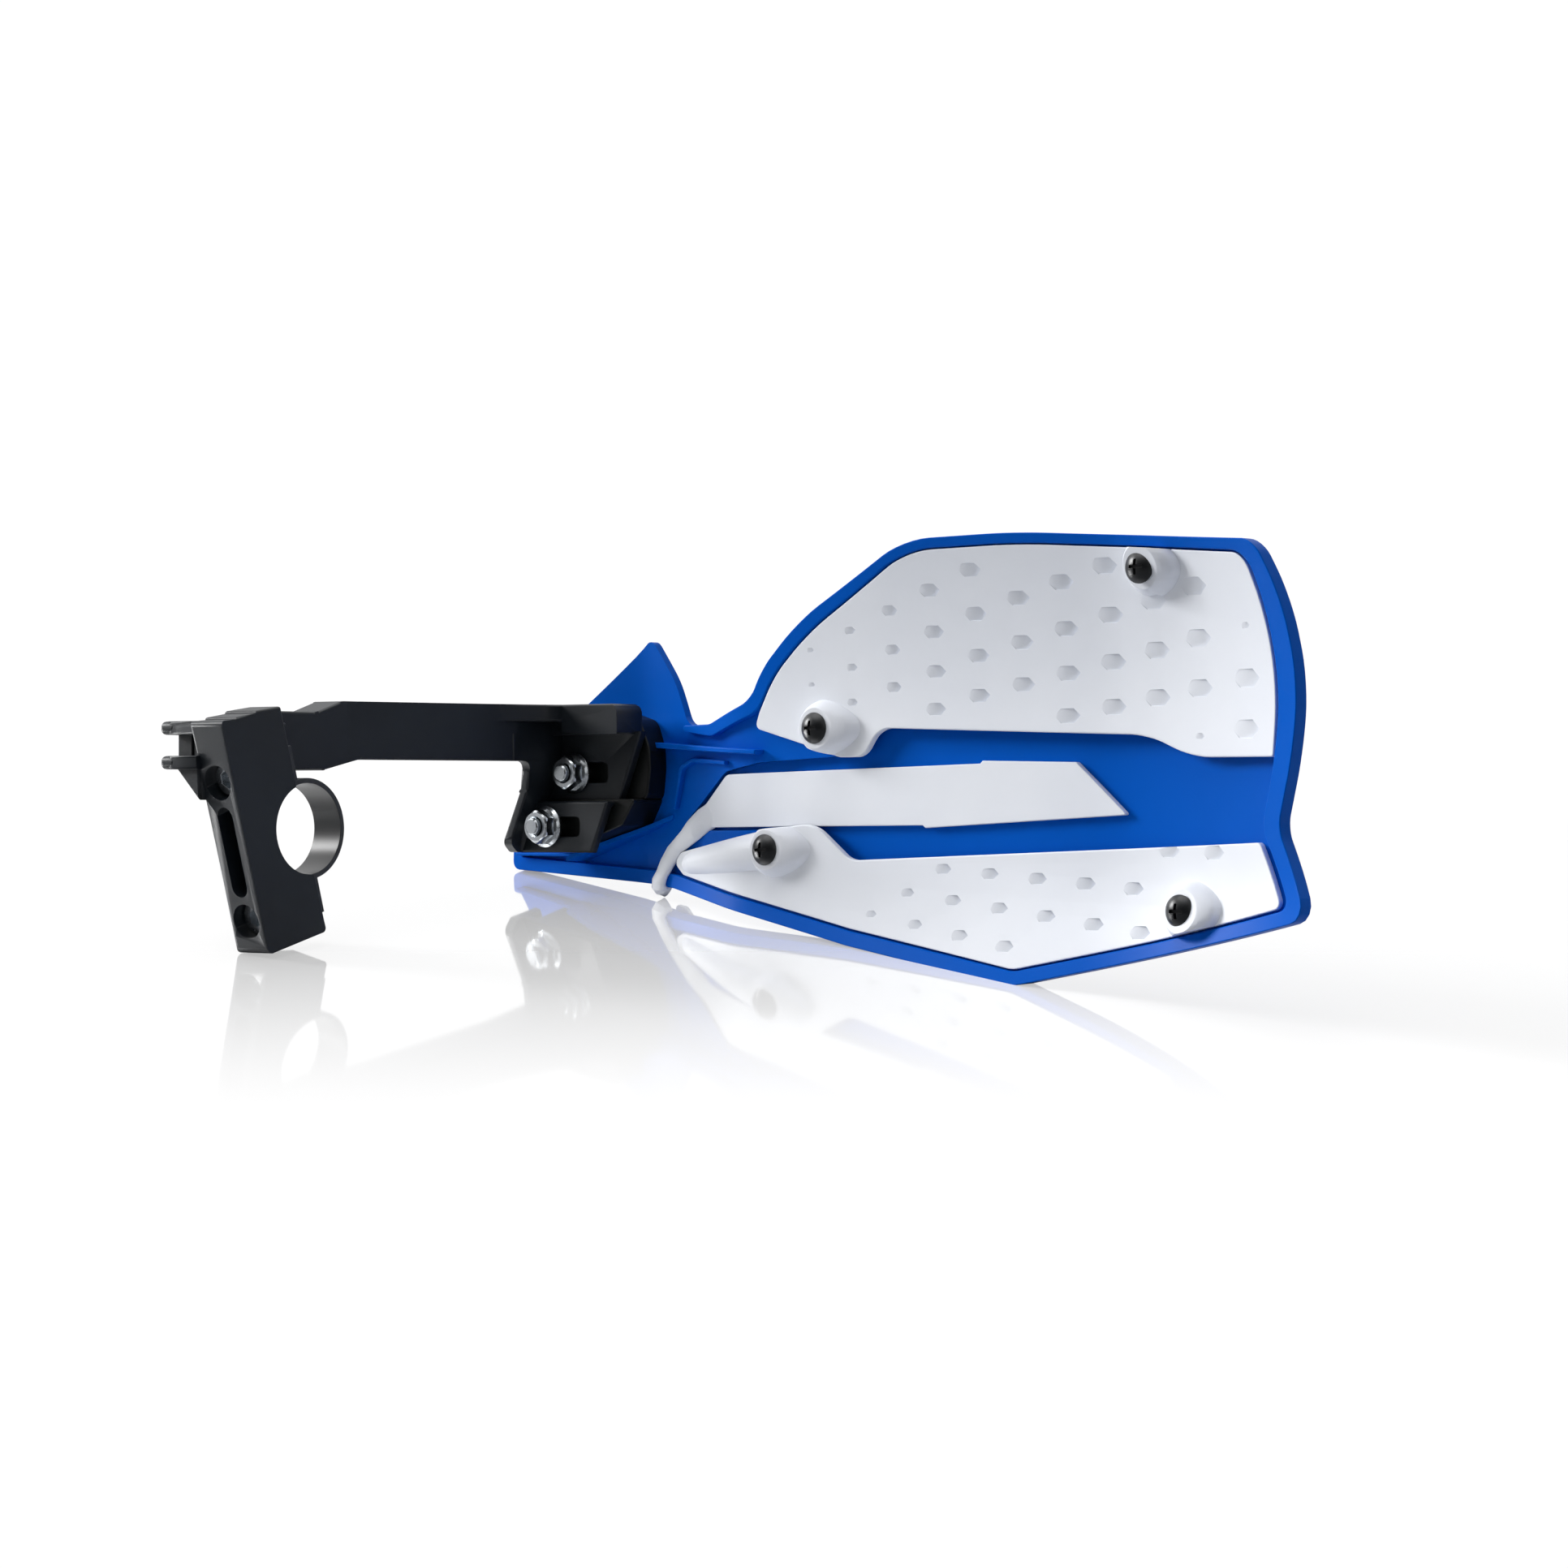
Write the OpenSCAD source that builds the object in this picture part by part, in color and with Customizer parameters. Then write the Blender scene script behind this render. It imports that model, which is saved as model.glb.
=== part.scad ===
// Right-hand motorcycle hand guard with its handlebar clamp and arm.
// Millimetres. X runs outward along the handlebar, Y forward, Z up.
// The origin is the centre of the clamp bore, on the handlebar's axis.

/* [Clamp] */
// Diameter of the handlebar in the clamp
bar_d = 28.6; // [22:0.1:30]
// Width of the clamp block along the handlebar
block_w = 14; // [13:0.5:16]
// Lean of the clamp's split towards the rider, in degrees
clamp_lean = 15.5; // [10:0.5:20]
// Distance between the two clamp bolts
clamp_pitch = 44.6; // [44:0.2:48]
// From the handlebar's axis to the bolt face of the block
block_depth = 27.3; // [25:0.1:32]
// Length of the block above the handlebar's axis
block_up = 42; // [38:0.5:46]
// Length of the block below the handlebar's axis
block_down = 33; // [31:0.5:40]
// Width of the steel strap
strap_w = 12; // [8:0.5:13]
// Thickness of the steel strap
strap_t = 1.6; // [1:0.1:2.2]

/* [Arm] */
// Height of the arm
arm_h = 18.6; // [16:0.2:21]
// Height of the arm's lower edge above the handlebar's axis
arm_z = 22; // [21:0.2:23]
// Drop of the arm beside the clamp
arm_drop = 3.6; // [2:0.2:5]
// Thickness of the arm's web and walls
arm_wall = 3.4; // [2.5:0.1:4.5]
// Width of the arm's flanges at the clamp
arm_flange_w = 12.5; // [8:0.5:16]
// Number of crossed bays of ribs along the arm
rib_bays = 4; // [2:1:6]

/* [Bracket] */
// From the handlebar's axis forward to the face of the upper pad
pad_y = 119; // [112:0.5:121]
// Distance by which the lower pad stands behind the upper one
pad_step = 5.6; // [4:0.2:7]
// Thickness of the pads
pad_t = 3.5; // [2.5:0.1:4.5]
// Length of the adjusting slots
slot_l = 20.4; // [14:0.2:21]
// Width of the adjusting slots
slot_w = 6.7; // [6.4:0.1:7.4]
// Depth of the spacer between the upper pad and the shield
spacer_depth = 10.5; // [8:0.5:16]

/* [Shield] */
// How far the shield reaches outward from the clamp's middle
shield_reach = 317; // [290:1:350]
// Height of the shield from its lowest corner to its top edge
shield_h = 137.5; // [125:0.5:155]
// Wall of the moulded shell
shell_t = 3; // [2:0.1:4]
// Height of the raised rim above the shell
rim_h = 2.6; // [1.5:0.1:3]
// Width of the raised rim
rim_w = 4.4; // [3:0.1:6]
// Thickness of the two inner panels
panel_t = 2.2; // [1.8:0.1:3]
// Gap between a panel and what surrounds it
panel_gap = 0.4; // [0.2:0.1:1]
// Depth of the channel between the panels
channel_depth = 2.6; // [1.5:0.1:4]
// Thickness of the trim blade
trim_t = 2; // [1.4:0.1:2.2]
// Height of the screw bosses on the panels
boss_h = 7.5; // [5:0.5:10]
// Depth of the dimples in the panels
dimple_depth = 1.1; // [0.4:0.1:1.4]

/* [Fasteners] */
// Thread diameter of the bolts
bolt_d = 6; // [5:0.5:6]
// Diameter of the clamp bolts' heads
cap_head_d = 10; // [9:0.1:10.4]
// Width across flats of the nuts
nut_af = 10; // [8:0.5:11]
// Diameter of the flanges on the flange nuts
nut_flange_d = 13.8; // [12:0.1:13.8]
// Diameter of the panel screws' heads
screw_head_d = 9.9; // [8:0.1:11]
// Shank diameter of the panel screws
screw_d = 4; // [3:0.1:4.5]
// Length of the panel screws' shanks
screw_l = 9; // [8:0.1:9.3]

/* [Hidden] */
$fn = 48;

// Fits
fit = 0.2;
hole_fit = 0.6;
sliver = 0.05;

// Clamp, in its own leaning frame: forward is +Y, up is +Z
bar_r = bar_d / 2;
split_y = -strap_t;
bolt_face_y = -block_depth;
counterbore_d = cap_head_d + 1.2;
counterbore_depth = 10;
bolt_hole_d = bolt_d + hole_fit;
ear_top = clamp_pitch / 2 + 4.7;
nut_h = 5;
bolt_tail = 1.4;
pocket_w = 6.7;
pocket_l = 29;
pocket_depth = 9;

// Arm: outline in side view and plan, outer face of the web
arm_top = arm_z + arm_h;
web_back_x = -block_w / 2 + 0.5;
web_front_x = 3.8;
web_bend_y = 30;
web_end_y = pad_y - 21.5;
flange_t = 4.3;
flange_front_w = 11;
fin_reach = 13;
fin_t = 4.2;
arm_start_y = -12;

// Bracket: everything follows the lean of its side wall
wall_lean = 0.43;
pad_back_y = pad_y + pad_t;
low_pad_y = pad_y - pad_step;
upper_bolt = [9.8, 18];
lower_bolt = [upper_bolt[0] - 7.6, 0.2];
slot_start = -5.6;
shelf_z = arm_top - 10;
shelf_x = 36.6;
shelf_y = pad_y - 9;
pad_low_z = -8.4;
pad_mid_z = 8.6;

// The outlines below are drawn for a reach of 317 and a height of 137.5,
// and are stretched to the sizes set above
wide = shield_reach / 317;
tall = shield_h / 137.5;
function spot(x, z) = [x * wide, z * tall];

// Shield in plan: flat seat, ramp, long main run and curved outer end,
// joined by arcs. Angles are the turn towards the rider.
seat_y = pad_back_y + spacer_depth;
seat_end_x = 26;
ramp_a = 13;
main_a = 1.48;
seat_arc_r = 40;
ramp_arc_r = 60;
outer_arc_r = 220;
ramp_l = 40;
main_end_x = 225 * wide;
outer_x = 325 * wide;

function ahead(a) = [sin(a), cos(a)];
function along(a) = [cos(a), -sin(a)];
seat_end = [seat_end_x, seat_y];
seat_c = seat_end - seat_arc_r * ahead(0);
ramp_start = seat_c + seat_arc_r * ahead(ramp_a);
ramp_end = ramp_start + ramp_l * along(ramp_a);
ramp_c = ramp_end + ramp_arc_r * ahead(ramp_a);
main_start = ramp_c - ramp_arc_r * ahead(main_a);
main_l = (main_end_x - main_start[0]) / cos(main_a);
main_end = main_start + main_l * along(main_a);
outer_c = main_end - outer_arc_r * ahead(main_a);

// Shield in section: flat in the middle, curled back above and below
low_z = -7;
low_r = 75;
high_z = 30;
high_r = 150;
band_low = -58 * tall;
band_high = 98 * tall;

// Forward position of the shell's rear face above a point of the plan
function plan_y(x) =
    x < seat_end[0] ? seat_y :
    x < ramp_start[0] ? seat_c[1] + sqrt(pow(seat_arc_r, 2) - pow(x - seat_c[0], 2)) :
    x < ramp_end[0] ? ramp_start[1] - tan(ramp_a) * (x - ramp_start[0]) :
    x < main_start[0] ? ramp_c[1] - sqrt(pow(ramp_arc_r, 2) - pow(x - ramp_c[0], 2)) :
    x < main_end[0] ? main_start[1] - tan(main_a) * (x - main_start[0]) :
    outer_c[1] + sqrt(pow(outer_arc_r, 2) - pow(x - outer_c[0], 2));
function curl(z) =
    z < low_z ? sqrt(pow(low_r, 2) - pow(z - low_z, 2)) - low_r :
    z > high_z ? sqrt(pow(high_r, 2) - pow(z - high_z, 2)) - high_r : 0;
function shell_y(p) = plan_y(p[0]) + curl(p[1]);

// Outlines are [x, z, corner radius], and are turned into polygons here
function unit(v) = v / norm(v);
function flat(p) = [p[0], p[1]];
function at(list, i) = list[(i + len(list)) % len(list)];
function cut(a, c, b, r) =
    let (u = unit(a - c), v = unit(b - c), half = acos(max(-1, min(1, u * v))) / 2)
    min(r / tan(half), 0.48 * norm(a - c), 0.48 * norm(b - c));
function corner(a, c, b, r, steps) =
    let (u = unit(a - c), v = unit(b - c), t = cut(a, c, b, r))
    r < 0.1 || abs(u * v) > 0.9999 ? [c] :
    [for (i = [0:steps]) let (k = i / steps, s = c + u * t, e = c + v * t)
        pow(1 - k, 2) * s + 2 * k * (1 - k) * c + k * k * e];
function rounded(list, steps = 5) =
    [for (i = [0:len(list) - 1])
        for (p = corner(flat(at(list, i - 1)), flat(list[i]), flat(at(list, i + 1)), list[i][2], steps)) p];
// Moves each side of an anticlockwise outline inward by d
function side_normal(a, b) = let (u = unit(b - a)) [-u[1], u[0]];
function inset(list, d) =
    [for (i = [0:len(list) - 1])
        let (a = flat(at(list, i - 1)), c = flat(list[i]), b = flat(at(list, i + 1)))
        let (m = side_normal(a, c), n = side_normal(c, b), w = (m + n) / (1 + m * n))
        [c[0] + w[0] * d, c[1] + w[1] * d, list[i][2]]];

shell_outline = [
    [-29.5, -14.4, 3], [36, -18.8, 0], [48, -20.1, 0], [131.6, -36.8, 0], [201, -47.8, 14],
    [253.4, -37.8, 0], [317, -25.5, 5], [302, 0.5, 9], [309, 22, 30], [311.8, 42, 40],
    [307.5, 66, 30], [299, 83.4, 8], [250, 86.8, 60], [204, 89.7, 60], [160, 89.2, 22],
    [110, 65.5, 50], [92.5, 51, 30], [86.5, 41, 12], [66, 33.6, 8], [52, 33.4, 5],
    [46, 48, 30], [35.5, 62.5, 3], [3.2, 41.4, 0], [-5, 28, 10], [-29.5, -7, 3]
];
upper_outline = [
    [88.2, 32, 2], [112, 25.8, 0], [124, 22.4, 4], [134, 22.4, 6], [140.5, 31.4, 8],
    [196, 29.6, 0], [246, 28, 40], [264, 21.2, 40], [301, 21, 1], [299, 45, 0],
    [297, 64, 60], [291.5, 79.2, 7], [248, 82.5, 60], [204, 85.4, 60], [160, 85.2, 18],
    [112, 61.5, 50], [97, 50, 30], [88, 37, 4]
];
lower_outline = [
    [52, -17, 2], [88, -25, 0], [125, -32.7, 0], [183, -43.2, 10], [199, -43.2, 8],
    [306, -22.2, 2], [294.6, -3.7, 2], [128.5, -10.2, 8], [113, 1.5, 12], [94, -0.5, 6],
    [50, -8.2, 3], [47, -12, 2]
];
channel_outline = [
    [70, 0, 6], [100, 2, 10], [128, -5.5, 10], [293, 0.5, 8], [297, 17, 6],
    [258, 19, 30], [238, 24.4, 40], [146, 27.4, 8], [128, 20, 8], [88, 21, 10]
];
strip_outline = [
    [63.7, 0, 3], [156, 0.9, 0], [157, 0.1, 0], [235.7, 4.2, 0.5], [216.3, 20.2, 1],
    [180, 20.9, 0], [179, 20, 0], [72, 17.2, 4], [55, 2.6, 2], [60, -1.5, 0]
];
tail_root = [[52, 2, 0], [57, -4, 0], [63, -1, 0], [66, 6, 0], [62, 8, 0]];
tail_outline = [
    [55, 2.6, 2], [47, -2.6, 2], [44.5, -5.6, 2], [39.8, -9.6, 4], [37.6, -15, 3], [36.4, -25, 1],
    [45.6, -25, 1], [43.4, -15.4, 2], [46.4, -9.6, 3], [50.6, -6, 2], [60, -1.5, 1]
];
blade_outline = [
    [36.4, -23.6, 1], [45.6, -24.6, 1], [64, -2, 12], [235.7, 3, 1], [216.3, 21.4, 1],
    [78, 19.4, 8], [52, 8, 12]
];

upper_inner_screw = spot(118, 31.6);
upper_outer_screw = spot(253, 77.2);
lower_inner_screw = spot(97, -7);
lower_outer_screw = spot(264.8, -24);
all_screws = [upper_inner_screw, upper_outer_screw, lower_inner_screw, lower_outer_screw];
boss_top_d = 14;
boss_base_d = 19;
boss_roof = 2.4;
post_d = 9;
screw_head_h = 2.8;

// Extrudes a side view given in [x, z] from one depth to another
module across(y0, y1) {
    translate([0, y1, 0]) rotate([90, 0, 0]) linear_extrude(height = y1 - y0) children();
}
// Extrudes an end view given in [y, z] along the handlebar
module outward(x0, x1) {
    translate([x0, 0, 0]) rotate([90, 0, 90]) linear_extrude(height = x1 - x0) children();
}
module drum(p, r, y0, y1) {
    translate([p[0], y1, p[1]]) rotate([90, 0, 0]) cylinder(r = r, h = y1 - y0);
}
module hexagon_bar(p, af, y0, y1) {
    translate([p[0], y1, p[1]]) rotate([90, 0, 0]) rotate([0, 0, 30])
        cylinder(d = af / cos(30), h = y1 - y0, $fn = 6);
}

// The shield's sheet between two depths, with flat facets between the stations.
// Depths are counted forward from the shell's rear face.
function steps(a, b, n) = [for (i = [0:n]) a + (b - a) * i / n];
inner_stations = concat([-44], steps(seat_end[0], ramp_start[0], 3), [ramp_end[0]]);
outer_stations = concat(steps(ramp_end[0], main_start[0], 4), steps(main_end_x, outer_x, 9));
heights = concat(steps(band_low, low_z, 6), steps(high_z, band_high, 5));

module sheet(p0, p1, stations) {
    across_n = len(stations);
    up_n = len(heights);
    function id(i, j, side) = (side * across_n + i) * up_n + j;
    polyhedron(
        points = [for (p = [p0, p1]) for (x = stations) for (z = heights) [x, plan_y(x) + curl(z) + p, z]],
        faces = concat(
            [for (i = [0:across_n - 2]) for (j = [0:up_n - 2])
                [id(i, j, 0), id(i, j + 1, 0), id(i + 1, j + 1, 0), id(i + 1, j, 0)]],
            [for (i = [0:across_n - 2]) for (j = [0:up_n - 2])
                [id(i, j, 1), id(i + 1, j, 1), id(i + 1, j + 1, 1), id(i, j + 1, 1)]],
            [for (i = [0:across_n - 2]) [id(i, 0, 0), id(i + 1, 0, 0), id(i + 1, 0, 1), id(i, 0, 1)]],
            [for (i = [0:across_n - 2], j = up_n - 1) [id(i, j, 0), id(i, j, 1), id(i + 1, j, 1), id(i + 1, j, 0)]],
            [for (j = [0:up_n - 2]) [id(0, j, 0), id(0, j, 1), id(0, j + 1, 1), id(0, j + 1, 0)]],
            [for (j = [0:up_n - 2], i = across_n - 1) [id(i, j, 0), id(i, j + 1, 0), id(i, j + 1, 1), id(i, j, 1)]]
        )
    );
}
// What a view from behind outlines on the sheet, over all its length or as far as the ramp
module patch(p0, p1) {
    intersection() {
        sheet(p0, p1, concat(inner_stations, [for (i = [1:len(outer_stations) - 1]) outer_stations[i]]));
        across(60, 160) children();
    }
}
module inner_patch(p0, p1) {
    intersection() {
        sheet(p0, p1, inner_stations);
        across(90, 160) children();
    }
}
module area(list) {
    polygon([for (p = rounded(list)) spot(p[0], p[1])]);
}

module clamp_frame() {
    rotate([clamp_lean, 0, 0]) children();
}

module clamp_block() {
    clamp_frame() difference() {
        outward(-block_w / 2, block_w / 2) polygon(rounded([
            [bolt_face_y, -block_down, 2.5], [split_y, -block_down, 2], [split_y, block_up - 2, 0],
            [-12.5, block_up - 0.6, 0], [-12.5, block_up - 1.4, 0], [-21, block_up - 0.4, 0],
            [-21, block_up - 1.2, 0], [bolt_face_y, block_up, 1.5]
        ]));
        outward(-block_w, block_w) circle(r = bar_r);
        for (side = [-1, 1]) {
            drum([0, side * clamp_pitch / 2], bolt_hole_d / 2, -block_depth - 1, 1);
            drum([0, side * clamp_pitch / 2], counterbore_d / 2, -block_depth - 1, bolt_face_y + counterbore_depth);
            drum([0, side * (pocket_l - pocket_w) / 2], pocket_w / 2, -block_depth - 1, bolt_face_y + pocket_depth);
        }
        translate([-pocket_w / 2, -block_depth - 1, -(pocket_l - pocket_w) / 2])
            cube([pocket_w, pocket_depth + 1, pocket_l - pocket_w]);
    }
}

arm_side = [
    [arm_start_y, arm_z - arm_drop, 0], [19, arm_z - arm_drop, 6], [34, arm_z, 8],
    [web_end_y, arm_z, 0], [pad_back_y, arm_z, 0], [pad_back_y, arm_top, 0],
    [27, arm_top, 6], [16, arm_top - arm_drop, 6], [arm_start_y, arm_top - arm_drop, 0]
];
arm_plan = [
    [web_back_x - arm_flange_w, arm_start_y, 2], [web_back_x, arm_start_y, 0], [web_back_x, web_bend_y, 20],
    [web_front_x, web_end_y, 20], [web_front_x, pad_back_y, 0], [web_front_x - flange_front_w, pad_back_y, 3],
    [web_front_x - flange_front_w, web_end_y, 20], [web_back_x - arm_flange_w, web_bend_y, 20]
];
arm_pocket_plan = [
    [web_back_x - arm_flange_w - 5, arm_start_y + arm_wall, 0],
    [web_back_x - arm_wall, arm_start_y + arm_wall, 2], [web_back_x - arm_wall, web_bend_y, 20],
    [web_front_x - arm_wall, web_end_y, 20], [web_front_x - arm_wall, pad_back_y - arm_wall, 2],
    [web_front_x - flange_front_w - 9, pad_back_y - arm_wall, 0],
    [web_front_x - flange_front_w - 9, web_end_y, 0], [web_back_x - arm_flange_w - 5, web_bend_y, 0]
];

// Crossed stiffening ribs between the flanges, on the inboard side
module arm_ribs() {
    first = 8;
    bay = (pad_back_y - arm_wall - first) / rib_bays;
    tilt = atan((arm_h - flange_t) / bay);
    for (i = [0:rib_bays - 1])
        for (side = [-1, 1])
            translate([0, first + (i + 0.5) * bay, arm_z + arm_h / 2])
                rotate([side * tilt, 0, 0]) cube([60, bay * 1.3, 1.8], center = true);
    for (i = [0:rib_bays])
        translate([0, first + i * bay, arm_z + arm_h / 2]) cube([60, 1.8, arm_h * 2], center = true);
}

module arm_beam() {
    difference() {
        intersection() {
            linear_extrude(height = 60) polygon(rounded(arm_plan));
            outward(-60, 60) polygon(rounded(arm_side));
        }
        difference() {
            intersection() {
                linear_extrude(height = 60) polygon(rounded(arm_pocket_plan));
                outward(-60, 60) polygon(rounded(inset(arm_side, flange_t)));
            }
            arm_ribs();
        }
    }
}

// Stub beside the block: two fins with a set-back core and a gusset below
module clamp_stub() {
    back = -block_w / 2;
    top = arm_top - arm_drop - 3.6;
    low = arm_z - arm_drop + 0.1;
    fin_plan = [
        [back - fin_reach, -36, 3], [back + 1, -36, 0], [back + 1, 2, 0], [back - fin_reach, 2, 0]
    ];
    for (z = [low, top - fin_t])
        translate([0, 0, z]) linear_extrude(height = fin_t) polygon(rounded(fin_plan));
    translate([back - 8, -30.5, low]) cube([8 + sliver, 32, top - low]);
    translate([0, -30, 0]) rotate([90, 0, 0]) linear_extrude(height = 4)
        polygon([[back - fin_reach + 2, low + 1], [back + sliver, low + 1], [back + sliver, 9]]);
}

// Outer face of the bracket's side wall at a height
function wall_x(z) = web_front_x + wall_lean * (min(z, arm_z) - arm_z);
function pad_edge(z) = 38.2 + 0.44 * (z - 28.7);

module bracket_wall() {
    intersection() {
        across(web_end_y - 2, pad_back_y) polygon([
            [wall_x(pad_low_z) - arm_wall, pad_low_z], [wall_x(pad_low_z), pad_low_z], [wall_x(arm_z), arm_z],
            [wall_x(arm_z), arm_z + 9], [wall_x(arm_z) - arm_wall, arm_z + 9], [wall_x(arm_z) - arm_wall, arm_z]
        ]);
        outward(-40, 40) polygon(rounded([
            [web_end_y - 2, arm_z + 9, 0], [web_end_y - 2, arm_z, 0], [pad_y - 15, arm_z, 5],
            [pad_y - 12.6, 12, 5], [pad_y - 12.6, pad_low_z + 3, 4], [pad_y - 8, pad_low_z, 3],
            [pad_back_y, pad_low_z, 0], [pad_back_y, arm_z + 9, 0]
        ]));
    }
}

module slot(p, y0, y1) {
    across(y0, y1) translate([p[0] + slot_start, p[1] - slot_w / 2]) polygon(rounded([
        [0, 0, 2], [slot_l, 0, 2], [slot_l, slot_w, 2], [0, slot_w, 2]
    ]));
}

module bracket_pads() {
    difference() {
        union() {
            across(pad_y, pad_back_y) polygon([
                [wall_x(pad_mid_z) - 1, pad_mid_z], [pad_edge(pad_mid_z), pad_mid_z],
                [pad_edge(shelf_z), shelf_z + 1], [wall_x(shelf_z) - 1, shelf_z + 1]
            ]);
            across(low_pad_y, low_pad_y + pad_t) polygon([
                [wall_x(pad_low_z) - 1, pad_low_z], [pad_edge(pad_low_z), pad_low_z],
                [pad_edge(pad_mid_z), pad_mid_z], [wall_x(pad_mid_z) - 1, pad_mid_z]
            ]);
            across(low_pad_y, pad_back_y) polygon([
                [wall_x(pad_mid_z) - 1.5, pad_mid_z - 2], [pad_edge(pad_mid_z - 2), pad_mid_z - 2],
                [pad_edge(pad_mid_z), pad_mid_z], [wall_x(pad_mid_z) - 1, pad_mid_z]
            ]);
        }
        slot(upper_bolt, pad_y - 1, pad_back_y + 1);
        slot(lower_bolt, low_pad_y - 1, low_pad_y + pad_t + 1);
    }
}

// Shelf that sweeps out from the arm and carries the pads
module bracket_shelf() {
    sweep_y = 62;
    lip_x = 12;
    start_x = web_back_x + (web_front_x - web_back_x) * (sweep_y - web_bend_y) / (web_end_y - web_bend_y);
    swept = [for (i = [0:8]) let (k = i / 8)
        [start_x + (lip_x - start_x) * k * k, sweep_y + (shelf_y - sweep_y) * k]];
    translate([0, 0, arm_top - 5.6]) linear_extrude(height = 5.6) polygon(concat(
        [[web_front_x - 2, pad_back_y], [start_x - 2, sweep_y]], swept,
        [[shelf_x - 2, shelf_y], [shelf_x - 2, pad_back_y]]
    ));
    across(shelf_y, pad_back_y) polygon(rounded([
        [lip_x, shelf_z, 0], [shelf_x, shelf_z, 0.8], [shelf_x, arm_top, 4], [lip_x, arm_top, 0]
    ]));
    across(shelf_y + 4, pad_back_y) polygon([
        [web_front_x - 1, shelf_z], [lip_x + 1, shelf_z], [lip_x + 1, arm_top], [web_front_x - 1, arm_top]
    ]);
}

module mount_arm() {
    color([0.13, 0.14, 0.15]) union() {
        clamp_block();
        clamp_stub();
        arm_beam();
        bracket_wall();
        bracket_pads();
        bracket_shelf();
    }
}

module clamp_strap() {
    outer = bar_r + strap_t;
    color([0.1, 0.1, 0.11]) clamp_frame() difference() {
        union() {
            intersection() {
                outward(-strap_w / 2, strap_w / 2) circle(r = outer);
                translate([-strap_w, split_y, -outer]) cube([2 * strap_w, 2 * outer, 2 * outer]);
            }
            difference() {
                translate([-strap_w / 2, split_y, -ear_top]) cube([strap_w, strap_t, 2 * ear_top]);
                outward(-strap_w, strap_w) circle(r = outer - strap_t / 2);
            }
        }
        outward(-strap_w, strap_w) circle(r = bar_r);
        for (side = [-1, 1])
            drum([0, side * clamp_pitch / 2], bolt_hole_d / 2, split_y - 1, 1);
    }
}

module clamp_bolt(side) {
    seat = bolt_face_y + counterbore_depth;
    at_bolt = [0, side * clamp_pitch / 2];
    color([0.72, 0.73, 0.74]) clamp_frame() difference() {
        union() {
            drum(at_bolt, cap_head_d / 2, seat - bolt_d, seat);
            drum(at_bolt, bolt_d / 2, seat - 1, nut_h + bolt_tail);
        }
        hexagon_bar(at_bolt, bolt_d - 1, seat - bolt_d - 1, seat - bolt_d / 2);
    }
}

module clamp_nut(side) {
    at_bolt = [0, side * clamp_pitch / 2];
    color([0.75, 0.76, 0.77]) clamp_frame() difference() {
        hexagon_bar(at_bolt, nut_af, 0, nut_h);
        drum(at_bolt, bolt_d / 2, -1, nut_h + 1);
    }
}

// Outlines of the spacer: its body and the foot under the lower pad
spacer_top = arm_top - 2.4;
spacer_body = [
    [wall_x(pad_mid_z), pad_mid_z + fit, 1], [pad_edge(8) + 2.4, pad_mid_z + fit, 1], [37.4, 20, 6],
    [32.4, 24.6, 1], [32.4, 27.8, 0.5], [36.8, 27.8, 1], [34.4, 34.6, 3], [24, spacer_top, 4],
    [2, spacer_top, 3], [wall_x(20), 20, 0]
];
spacer_foot = [
    [wall_x(pad_low_z) + 1, pad_low_z + 1, 1], [20, pad_low_z + 1, 1], [pad_edge(4) + 3, 4, 3],
    [pad_edge(8) + 2.4, pad_mid_z - 2 - fit, 1], [wall_x(pad_mid_z) + 0.5, pad_mid_z - 2 - fit, 1]
];
module spacer_room() {
    polygon(rounded(inset(spacer_body, -panel_gap)));
    polygon(rounded(inset(spacer_foot, -panel_gap)));
    translate([wall_x(pad_mid_z), pad_mid_z - 4]) square([30, 6]);
}

module spacer_block() {
    color([0.11, 0.13, 0.13]) difference() {
        union() {
            across(pad_back_y + fit, seat_y + 10) polygon(rounded(spacer_body));
            across(low_pad_y + pad_t + fit, seat_y + 10) polygon(rounded(spacer_foot));
            across(pad_back_y + fit, seat_y + 10) polygon([
                [wall_x(pad_mid_z) + 2, pad_mid_z - 3], [26, pad_mid_z - 3],
                [26, pad_mid_z + 1], [wall_x(pad_mid_z) + 2, pad_mid_z + 1]
            ]);
        }
        sheet(-fit, 30, inner_stations);
        for (p = [upper_bolt, lower_bolt])
            drum(p, bolt_hole_d / 2, low_pad_y, seat_y + 10);
    }
}

// Ribs of the shell beside the bracket, seen from behind
module rib_lines() {
    area([[38, 26.2, 0], [90, 23.6, 0], [90, 25, 0], [38, 28, 0]]);
    area([[4, -9, 0], [7, -9, 0], [43.5, 3.4, 0], [43, 5, 0]]);
    area([[-26, -9.8, 0], [8, -9.8, 0], [8, -8.8, 0], [-26, -8.8, 0]]);
}
module fine_rib_lines() {
    area([[45.6, 6, 0], [46.8, 6, 0], [50.6, 19.2, 2], [56, 21.4, 3], [73.6, 20.4, 0], [73.6, 21.6, 0],
        [56, 22.8, 4], [49.4, 20.4, 2]]);
}
module rim_area(gap = 0) {
    difference() {
        area(shell_outline);
        area(inset(shell_outline, rim_w + gap));
    }
    translate([-gap, 0]) intersection() {
        area(shell_outline);
        area([[294, 1, 12], [330, -20, 0], [330, 90, 0], [296, 90, 0], [300, 64, 60], [303.4, 42, 40],
            [301, 22, 20]]);
    }
}

// Room that the strip and the root of its tail take in the channel, with d round them
module trim_room(d) {
    area(inset(channel_outline, -d));
    area(inset(strip_outline, -d - panel_gap));
    area(inset(tail_root, -d - panel_gap));
}

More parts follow.
